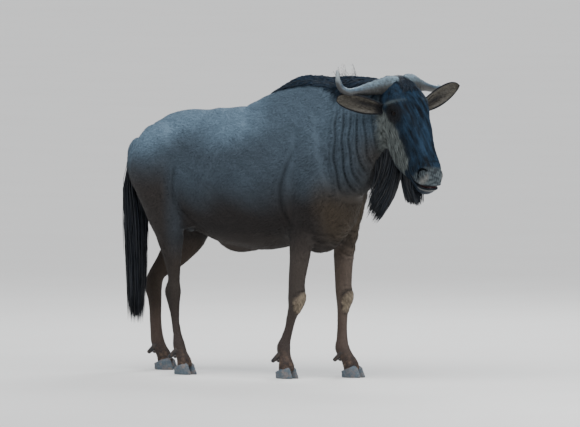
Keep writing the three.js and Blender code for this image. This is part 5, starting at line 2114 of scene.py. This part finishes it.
@dataclass
class Hide:
    """The finished skin, with quick ways to find places on it.

    Args:
        surface: The skin's surface.
    """

    surface: Surface

    def __post_init__(self) -> None:
        """Prepares a search tree over the skin."""
        faces = self.surface.quads.tolist() + self.surface.triangles.tolist()
        self.tree = BVHTree.FromPolygons(self.surface.points.tolist(), faces)

    def meet(self, start: Array, direction: Array) -> tuple[Array, Array]:
        """Places first met by rays from outside.

        Args:
            start: Where each ray starts.
            direction: Where they all go.

        Returns:
            Places and outward directions; a ray that meets nothing gives its own start.
        """
        places, normals = start.copy(), np.tile(-unit(direction), (len(start), 1))
        for k, origin in enumerate(start):
            hit, normal, _, _ = self.tree.ray_cast(Vector(origin), Vector(direction))
            if hit is not None:
                places[k], normals[k] = hit, normal
        return places, normals


@dataclass
class Mane:
    """Hair of the crest: a standing middle and sides that drape and lie back.

    Args:
        hide: Skin that it grows on.
    """

    hide: Hide
    start: float = 90.0
    end: float = 742.0
    count: int = 3000
    heights: Rows = (
        (90, 130, 170, 220, 260, 333, 412, 470, 560, 640, 742),
        (4, 10, 20, 32, 37, 34, 30, 36, 34, 28, 20),
    )  # x, rise over the skin
    backs: Rows = ((90, 300, 742), (36, 76, 92))  # x, how far the hair lies back

    def build(self, finish: Material) -> None:
        """Makes the mane.

        Args:
            finish: Its finish.
        """
        random = np.random.default_rng(51)
        count = self.count
        x = self.start + (self.end - self.start) * random.random(count) ** 0.85
        grown, long = rises(x, 100, 300), rises(x, 380, 620)
        reach = 7 + 9 * grown + 12 * long
        y = np.clip(random.normal(0, 1, count), -2, 2) * reach * 0.75
        middle = np.exp(-((y / (0.55 * reach)) ** 2))
        sign = np.where(y < 0, -1, 1)
        stray = random.random(count) < 0.09 * (x > 430) * (x < 530)
        rise = np.interp(x, *self.heights) * random.uniform(0.7, 1.05, count) * (0.3 + 0.7 * middle)
        rise = np.where(stray, rise + random.uniform(14, 66, count), rise)
        back = np.interp(x, *self.backs) * random.uniform(0.7, 1.1, count)
        back = np.where(stray, 0.3 * back, back)
        out = (1 - middle) * (8 + 8 * grown + 34 * long) * random.uniform(0.6, 1.2, count)
        wave = random.normal(0, 1.6, (count, 3))

        def guide(share: float, lift: float) -> Array:
            """Place a share of the way back over the skin, raised by a share of the hair's rise.

            Args:
                share: Share of the way back.
                lift: Share of the rise.

            Returns:
                One place a lock.
            """
            along = x - back * share + 0.8 * share**2 * to_clump(x - back, 24.0)
            spot, _ = self.hide.meet(np.stack([along, y + sign * out * share, 0 * x + 1700], 1), DOWN)
            raised = np.stack([0 * x, 0.3 * sign * lift * rise * (1 - middle), lift * rise], 1)
            return spot + raised + share * wave

        first = guide(0.0, 0.0) + [4, 0, -4]
        guides = np.stack([first, guide(0.3, 0.66), guide(0.66, 1.0), guide(1.0, 0.86)], 1)
        colours = hair_colours(random, tone(17, 36, 54), tone(38, 44, 50), count)
        places = np.stack([(x - self.start) / (self.end - self.start), y / (4 * reach) + 0.5], 1)
        across = unit(np.stack([0.35 + 0 * x, 0.2 * sign, 1 - 0.7 * (1 - middle)], 1))
        width = np.where(stray, 1.3, random.uniform(3.6, 7.5, count))
        Locks("mane_locks", guides, width, 0.28, across, colours, 5, places).build(finish, "hair", ["mane"])


@dataclass
class Beard:
    """Hair that hangs from the throat and under the jaw.

    Args:
        hide: Skin that it grows on.
        finish: Finish of the hair.
    """

    hide: Hide
    finish: Material
    throat_count: int = 1900
    jaw_count: int = 900

    def throat(self) -> None:
        """Long group under the neck, falling down and back."""
        random = np.random.default_rng(61)
        count = self.throat_count
        share = random.uniform(0.58, 0.98, count)
        lateral = np.clip(random.normal(0, 0.15, count), -0.34, 0.34)
        line = Sweep(stations(Skin.neck)).points(share, (-np.pi / 2 + lateral)[:, None])[:, 0]
        root, normal = self.hide.meet(line + DOWN * 140, UP)
        along = (share - 0.58) / 0.4
        length = (262 + 14 * along) * (1 - 0.45 * random.random(count) ** 1.4)
        length = length * (0.86 + 0.14 * np.exp(-((lateral / 0.12) ** 2)))
        swept = -(70 + 62 * along) * length / 262 - random.uniform(-12, 26, count)
        swept = swept + 150 * to_clump(share, 0.045)
        narrow = -0.45 * root[:, 1] + 8 * np.sin(np.floor(share / 0.045) * 2.4)
        wave = random.normal(0, 3.0, (count, 3))

        def hang(part: float) -> Array:
            """Place a part of the way down."""
            aside = np.stack([4 * part + swept * part**2, narrow * part**1.5, -length * part], 1)
            return root + aside + part * wave

        guides = np.stack([root - normal * 6, hang(0.3), hang(0.66), hang(1.0)], 1)
        self.grow("throat", guides, random, along, lateral)

    def jaw(self) -> None:
        """Shorter group under the jaw, falling forward."""
        random = np.random.default_rng(62)
        count = self.jaw_count
        down = random.uniform(366, 462, count)
        side = np.clip(random.normal(0, 15, count), -32, 32)
        start = np.stack([SKULL.at(d, s, -330) for d, s in zip(down, side)])
        root, normal = self.hide.meet(start, SKULL.out)
        along = (down - 366) / 96
        length = (152 - 46 * along) * (1 - 0.55 * random.random(count) ** 1.3)
        wave = random.normal(0, 2.4, (count, 3))
        forward = (30 + to_clump(down, 16.0))[:, None] * SKULL.ahead - 0.5 * side[:, None] * SKULL.left

        def hang(part: float) -> Array:
            """Place a part of the way down."""
            return root + DOWN * (part * length)[:, None] + forward * part**1.4 + part * wave

        guides = np.stack([root - normal * 5, hang(0.32), hang(0.7), hang(1.0)], 1)
        self.grow("jaw", guides, random, along, side / 200)

    def grow(
        self, group: str, guides: Array, random: np.random.Generator, along: Array, lateral: Array
    ) -> None:
        """Makes one group of the beard.

        Args:
            group: Name of the group.
            guides: Guide points of its locks.
            random: Source of its variation.
            along: Place of each root along the group.
            lateral: Place of each root across it.
        """
        count = len(guides)
        colours = hair_colours(random, tone(20, 27, 35), tone(46, 46, 48), count)
        across = unit(np.stack([np.ones(count), random.normal(0, 0.5, count), np.zeros(count)], 1))
        places = np.stack([along, np.clip(lateral * 1.2 + 0.5, 0, 1)], 1)
        width = random.uniform(3.4, 7.0, count)
        locks = Locks(f"beard_{group}_locks", guides, width, 0.3, across, colours, 6, places)
        locks.build(self.finish, "hair", [f"beard_{group}"])


@dataclass
class Tail:
    """Long hair of the tail, leaving the dock on all sides.

    Args:
        count: How many locks.
    """

    count: int = 2800
    top: float = 990.0
    low: float = 610.0
    middle: float = -714.0
    foot: float = 214.0

    def build(self, finish: Material) -> None:
        """Makes the tail's hair.

        Args:
            finish: Its finish.
        """
        random = np.random.default_rng(71)
        count = self.count
        z = self.low + (self.top - self.low) * random.random(count)
        dock = stations(Skin.dock)[::-1]
        centre, thick = (np.interp(z, dock[:, 2], dock[:, k]) for k in (0, 3))
        angle = random.uniform(0, FULL_TURN, count)
        share = (self.top - z) / (self.top - self.low)
        radial = np.stack([np.cos(angle), 0.7 * np.sin(angle), 0 * z], 1)
        root = np.stack([centre, 0 * z, z], 1) + radial * (thick * 0.7)[:, None]
        reach = (66 - 22 * share) * random.uniform(0.3, 1.0, count) ** 0.7
        foot = np.maximum(self.foot + 110 * random.random(count) ** 1.5, z - random.uniform(330, 480, count))
        clump = angle + to_clump(angle, 0.33)
        gathered = np.stack([np.cos(clump), 0.7 * np.sin(clump), 0 * z], 1)
        wave = random.normal(0, 3.0, (count, 3)) * np.array([1, 1, 0.3])

        def hang(part: float, spread: float, way: Array) -> Array:
            """Place a part of the way down."""
            across = centre + (self.middle - centre) * min(1.0, 1.6 * part)
            return np.stack([across, 0 * z, z + (foot - z) * part], 1) + way * (spread * reach)[:, None]

        guides = [
            root - radial * 4,
            hang(0.3, 0.92, radial),
            hang(0.62, 0.97, 0.5 * radial + 0.5 * gathered) + wave,
            hang(1.0, 0.8, gathered) + 1.3 * wave,
        ]
        colours = hair_colours(random, tone(8, 13, 21), tone(28, 30, 34), count)
        across = np.stack([-np.sin(angle), np.cos(angle), 0 * z], 1)
        places = np.stack([share, angle / FULL_TURN], 1)
        width = random.uniform(4.0, 8.0, count)
        locks = Locks("tail_locks", np.stack(guides, 1), width, 0.3, across, colours, 6, places)
        locks.build(finish, "hair", ["tail"])


@dataclass
class Forelock:
    """Short hair on the poll between the horns, falling over the forehead.

    Args:
        hide: Skin that it grows on.
    """

    hide: Hide
    count: int = 520

    def build(self, finish: Material) -> None:
        """Makes the forelock.

        Args:
            finish: Its finish.
        """
        random = np.random.default_rng(81)
        count = self.count
        down = random.uniform(-30, 44, count)
        side = np.clip(random.normal(0, 16, count), -34, 34)
        start = np.stack([SKULL.at(d, s, 140) for d, s in zip(down, side)])
        root, normal = self.hide.meet(start, -SKULL.out)
        length = random.uniform(28, 52, count)[:, None]
        wave = random.normal(0, 2.0, (count, 3))
        way = unit(SKULL.down + 0.35 * SKULL.left * (side / 30)[:, None])
        guides = [root - normal * 3]
        for part, lift, turn in ((0.45, 9, 0.5), (1.0, 5, 1.0)):
            raised = SKULL.out * (lift + 3 * random.random((count, 1)))
            guides.append(root + way * part * length + raised + turn * wave)
        colours = tone(12, 24, 36) * random.uniform(0.5, 1.5, (count, 1))
        places = np.stack([(down + 30) / 74, side / 70 + 0.5], 1)
        width = random.uniform(3.0, 5.5, count)
        locks = Locks("forelock_locks", np.stack(guides, 1), width, 0.35, SKULL.left, colours, 4, places)
        locks.build(finish, "hair", ["forelock"])


@dataclass
class Tufts:
    """Tufts of the coat, one a row.

    Args:
        root: Where they grow.
        normal: Outward directions there.
        lie: Directions of the hair.
        size: Lengths, mm.
        lift: How far they stand off, mm.
        slim: Widths, mm.
    """

    root: Array
    normal: Array
    lie: Array
    size: Array
    lift: Array
    slim: Array

    def picked(self, which: Array) -> "Tufts":
        """Some of the tufts."""
        return Tufts(*(values[which] for values in vars(self).values()))


@dataclass
class Coat:
    """Short tufts that lie over the skin on every side.

    Args:
        hide: Skin that they grow on.
        total: How many tufts in all.
        most: Most tufts in one piece.
    """

    hide: Hide
    total: int = 112000
    most: int = 18500
    shortest: float = 0.5

    def build(self, finish: Material) -> None:
        """Makes the coat in pieces by region.

        Args:
            finish: Its finish.
        """
        random = np.random.default_rng(91)
        root, normal = self.roots(random)
        sizes = self.sizes(root)
        keep = sizes[0] > self.shortest
        root, normal = root[keep], normal[keep]
        tufts = Tufts(root, normal, self.lie(root, normal), *(values[keep] for values in sizes))
        region = self.region(root)
        for name in sorted(set(region)):
            chosen = np.flatnonzero(region == name)
            order = chosen[np.argsort(root[chosen, 0], kind="stable")]
            parts = max(1, math.ceil(len(chosen) / self.most))
            for k, part in enumerate(np.array_split(order, parts)):
                self.piece(f"coat_{name}_{k + 1}", tufts.picked(part), random, finish)

    def roots(self, random: np.random.Generator) -> tuple[Array, Array]:
        """Roots spread over the skin, denser where tufts are smaller.

        Args:
            random: Source of the places.

        Returns:
            Places and outward directions.
        """
        surface = self.hide.surface
        quads = surface.quads
        faces = np.concatenate([quads[:, [0, 1, 2]], quads[:, [0, 2, 3]], surface.triangles])
        corner = surface.points[faces]
        across = np.cross(corner[:, 1] - corner[:, 0], corner[:, 2] - corner[:, 0])
        size = self.sizes(corner.mean(1))[0]
        dense = np.where(size > self.shortest, 1 / np.maximum(size, 4.0) ** 1.4, 0)
        weight = np.linalg.norm(across, axis=1) / 2 * dense
        ladder = np.cumsum(weight) / weight.sum()
        pick = np.searchsorted(ladder, (np.arange(self.total) + random.random(self.total)) / self.total)
        u, v = random.random((2, self.total, 1))
        flip = u + v > 1
        u, v = np.where(flip, 1 - u, u), np.where(flip, 1 - v, v)
        a, b, c = corner[pick].transpose(1, 0, 2)
        smooth = surface.normals()[faces[pick]]
        blend = smooth[:, 0] * (1 - u - v) + smooth[:, 1] * u + smooth[:, 2] * v
        return a + u * (b - a) + v * (c - a), unit(blend)

    @staticmethod
    def sizes(points: Array) -> tuple[Array, Array, Array]:
        """Length, lift and width of tufts at places; length 0 where none grow.

        Args:
            points: Places in millimetres.

        Returns:
            Lengths, lifts and widths in millimetres.
        """
        x, _, z = points.T
        down, _, out = SKULL.local(points).T
        length = 15.0 + 3 * rises(x, 300, 500)
        length = np.where(z < LEG_TOP, 12 - 4 * falls(z, 200, 420), length)
        length = np.where(z < 84, 17.0, length)
        on_head = SKULL.covers(points)
        length = np.where(on_head, 9 - 4.5 * rises(down, 300, 450), length)
        spread = np.hypot(down - SKULL.eye[0], out - SKULL.eye[2])
        length = np.where(on_head & (spread < 46), 4.5, length)
        line, _, _ = MOUTH.measures(points)
        bare = on_head & ((spread < 25) | (line < 7) | (NOSTRILS.slit(points) > 0.02) | (down > 505))
        bare |= (z < 50) | (Markings.knee_oval(points) < 1.0)
        length = np.where(bare, 0.0, length)
        return length, 0.06 * length + 0.2, 0.13 * length + 0.35

    @staticmethod
    def lie(points: Array, normals: Array) -> Array:
        """Direction that the hair lies in along the skin.

        Args:
            points: Places in millimetres.
            normals: Outward directions there.

        Returns:
            One direction a place.
        """
        x, y, z = points.T
        way = np.stack([-1 + 0 * x, 0.12 * np.sign(y), -0.45 + 0 * x], 1)
        leg = falls(z, LEG_TOP, 700)
        belly = falls(normals[:, 2], -0.9, -0.6)
        rump = falls(x, -660, -560) * (1 - leg)
        for turned, share in (((-0.12, 0, -1.0), leg), ((-1.0, 0, 0), belly), ((-0.3, 0, -1.0), rump)):
            way = way * (1 - share[:, None]) + np.array(turned) * share[:, None]
        on_head = SKULL.covers(points, half=np.inf)[:, None]
        way = np.where(on_head, SKULL.down - 0.15 * SKULL.out, way)
        way = way + folded(points, 95, 160)[:, None] * 0.22 * np.cross(normals, way)
        return unit(way - normals * (way * normals).sum(1, keepdims=True))

    @staticmethod
    def region(points: Array) -> Array:
        """Name of the region that each place lies in.

        Args:
            points: Places in millimetres.

        Returns:
            One name a place.
        """
        x, y, z = points.T
        name = np.where(z < LEG_TOP, np.where(x > 0, "foreleg_", "hindleg_"), "trunk_")
        name = np.where((z >= LEG_TOP) & (x > 430), "neck_", name)
        name = np.where(SKULL.covers(points, half=np.inf), "face_", name)
        return np.char.add(name, np.where(y < 0, "right", "left"))

    @staticmethod
    def piece(name: str, tufts: Tufts, random: np.random.Generator, finish: Material) -> None:
        """Makes one piece of the coat.

        Args:
            name: Name of the piece.
            tufts: Its tufts.
            random: Source of its variation.
            finish: Its finish.
        """
        root, count = tufts.root, len(tufts.root)
        length = (tufts.size * random.uniform(0.75, 1.2, count))[:, None]
        side = np.cross(tufts.normal, tufts.lie)
        bend = side * random.normal(0, 0.12, (count, 1)) * length
        ahead, raised = tufts.lie * length, tufts.normal * tufts.lift[:, None]
        guides = [
            root - tufts.normal * 1.2 - 0.1 * ahead,
            root + 0.5 * ahead + raised + 0.4 * bend,
            root + ahead + 0.75 * raised + bend,
        ]
        colours = Markings().colours(root)[0] * random.uniform(0.9, 1.1, (count, 1))
        leg, face = "leg" in name, "face" in name
        measure = SKULL.local(root)[:, 0] if face else root[:, 2 if leg else 0]
        along = (measure - measure.min()) / (np.ptp(measure) + 1)
        gone = root - root.mean(0)
        turn = np.arctan2(gone[:, 1], gone[:, 0]) if leg else np.arctan2(gone[:, 2], gone[:, 1])
        places = np.stack([along, turn / FULL_TURN + 0.5], 1)
        slot = "face" if face else "leg_hide" if leg else "hide"
        width = tufts.slim * random.uniform(0.8, 1.2, count)
        # Faint painted shade at the roots and painted light at the tips of the coat's tufts.
        locks = Locks(name, np.stack(guides, 1), width, 0.2, side, colours, 2, places, (0.92, 1.06))
        locks.build(finish, slot)


@dataclass(frozen=True)
class Studio:
    """Pale floor, soft light and the camera at the photo's angle."""

    azimuth_deg: float = 35.0
    elevation_deg: float = 3.0
    distance: float = 90.0
    width: float = 2.685  # metres that the picture spans
    middle: tuple[float, float] = (0.1296, 0.75)  # picture centre to the right and up
    target: Triple = (0.15, 0.0, 0.7)
    floor_size: float = 400000.0  # half its width, mm
    sensor: float = 36.0

    @staticmethod
    def place(name: str, data: bpy.types.ID, spot: Iterable[float], way: Iterable[float]) -> bpy.types.Object:
        """Puts a camera or lamp in the scene.

        Args:
            name: Name of the object.
            data: The camera or lamp.
            spot: Where it stands, in metres.
            way: Direction that it looks in.

        Returns:
            The object.
        """
        thing = bpy.data.objects.new(name, data)
        bpy.context.scene.collection.objects.link(thing)
        thing.location = Vector(spot)
        thing.rotation_euler = Vector(way).to_track_quat("-Z", "Y").to_euler()
        return thing

    def camera(self) -> None:
        """Sets the camera."""
        a, e = math.radians(self.azimuth_deg), math.radians(self.elevation_deg)
        right = np.array([math.cos(a), math.sin(a), 0.0])
        up = np.array([-math.sin(a) * math.sin(e), math.cos(a) * math.sin(e), math.cos(e)])
        toward = np.array([math.sin(a) * math.cos(e), -math.cos(a) * math.cos(e), math.sin(e)])
        lens = bpy.data.cameras.new("camera")
        lens.sensor_width = self.sensor
        lens.lens = self.sensor * self.distance / self.width
        lens.clip_end = 900.0
        middle = right * self.middle[0] + up * self.middle[1] + SHIFT
        bpy.context.scene.camera = self.place("camera", lens, middle + toward * self.distance, -toward)

    def floor(self) -> None:
        """Makes the floor."""
        corners = np.array([[-1, -1, 0], [1, -1, 0], [1, 1, 0], [-1, 1, 0]]) * self.floor_size
        corners = corners + DOWN * (SHIFT[2] / MM + 0.2)
        floor = make_object("floor", Surface(corners, np.array([[0, 1, 2, 3]])), smooth=False)
        floor.data.materials.append(FloorFinish("Studio floor", 0.8, 0.2).material())

    def light(
        self, name: str, spot: Triple, power: float, size: float, colour: Triple, kind: str = "AREA"
    ) -> None:
        """Adds one soft light aimed at the animal.

        Args:
            name: Name of the light.
            spot: Where it stands, in metres.
            power: Its strength, in watts or for a sun in watts a square metre.
            size: Its width in metres, or a sun's angle in radians.
            colour: Its colour.
            kind: Sort of light.
        """
        lamp = bpy.data.lights.new(name, kind)
        lamp.energy = power
        lamp.color = colour
        setattr(lamp, "angle" if kind == "SUN" else "size", size)
        self.place(name, lamp, spot, Vector(self.target) - Vector(spot))

    def build(self) -> None:
        """Sets floor, lights, world and camera."""
        self.floor()
        self.light("key", (0.8, -2.8, 5.6), 3.1, 0.9, (0.98, 0.99, 1.0), "SUN")
        self.light("fill", (-4.0, -4.2, 2.8), 90.0, 3.5, (0.86, 0.93, 1.0))
        self.light("side", (5.2, -0.4, 2.4), 230.0, 3.0, (0.95, 0.98, 1.0))
        self.light("back", (-1.5, 4.5, 4.6), 220.0, 2.5, (0.92, 0.96, 1.0))
        world = bpy.data.worlds.new("studio")
        world.use_nodes = True
        sky = world.node_tree.nodes["Background"].inputs
        sky[0].default_value = (0.84, 0.9, 1.0, 1.0)
        sky[1].default_value = 0.45
        bpy.context.scene.world = world
        self.camera()


FLESH_NODES = ("torso", "neck", "head", *(limb.name for limb in LIMBS))


def main() -> None:
    """Builds every piece in order and reports each."""
    logging.basicConfig(level=logging.INFO, format="%(message)s")
    hide_finish = HideFinish("Skin under the coat", 0.72, 0.1, flecks=0.9, sheen=0.015).material()
    coat_finish = HideFinish("Short coat", 0.66, 0.1, relief=0.25, flecks=0.7, sheen=0.015).material()
    hair_finish = HairFinish("Long dark hair", 0.5, 0.24).material()
    surface = Skin().build()
    skin = make_object("skin", surface)
    add_tint(skin, *Markings().colours(surface.points))
    finish_piece(skin, hide_finish, FLESH_NODES)
    hide = Hide(surface)
    eye_finish = EyeFinish("Wet dark eye", 0.16, 0.06).material()
    horn_finish = HornFinish("Grey horn", 0.42).material()
    hoof_finish = HoofFinish("Blue-grey hoof", 0.5).material()
    spur_finish = HideFinish("Dark dewclaw", 0.5, 0.3, relief=0.4).material()
    for side in Side:
        Eye(side).build(eye_finish, hide_finish)
        Horn(side).build(horn_finish)
        Ear(side).build(hide_finish, coat_finish)
    for limb in LIMBS:
        Foot(limb).build(hoof_finish, spur_finish)
    Mane(hide).build(hair_finish)
    beard = Beard(hide, hair_finish)
    beard.throat()
    beard.jaw()
    Tail().build(hair_finish)
    Forelock(hide).build(hair_finish)
    Coat(hide).build(coat_finish)
    Studio().build()


if __name__ == "__main__":
    main()
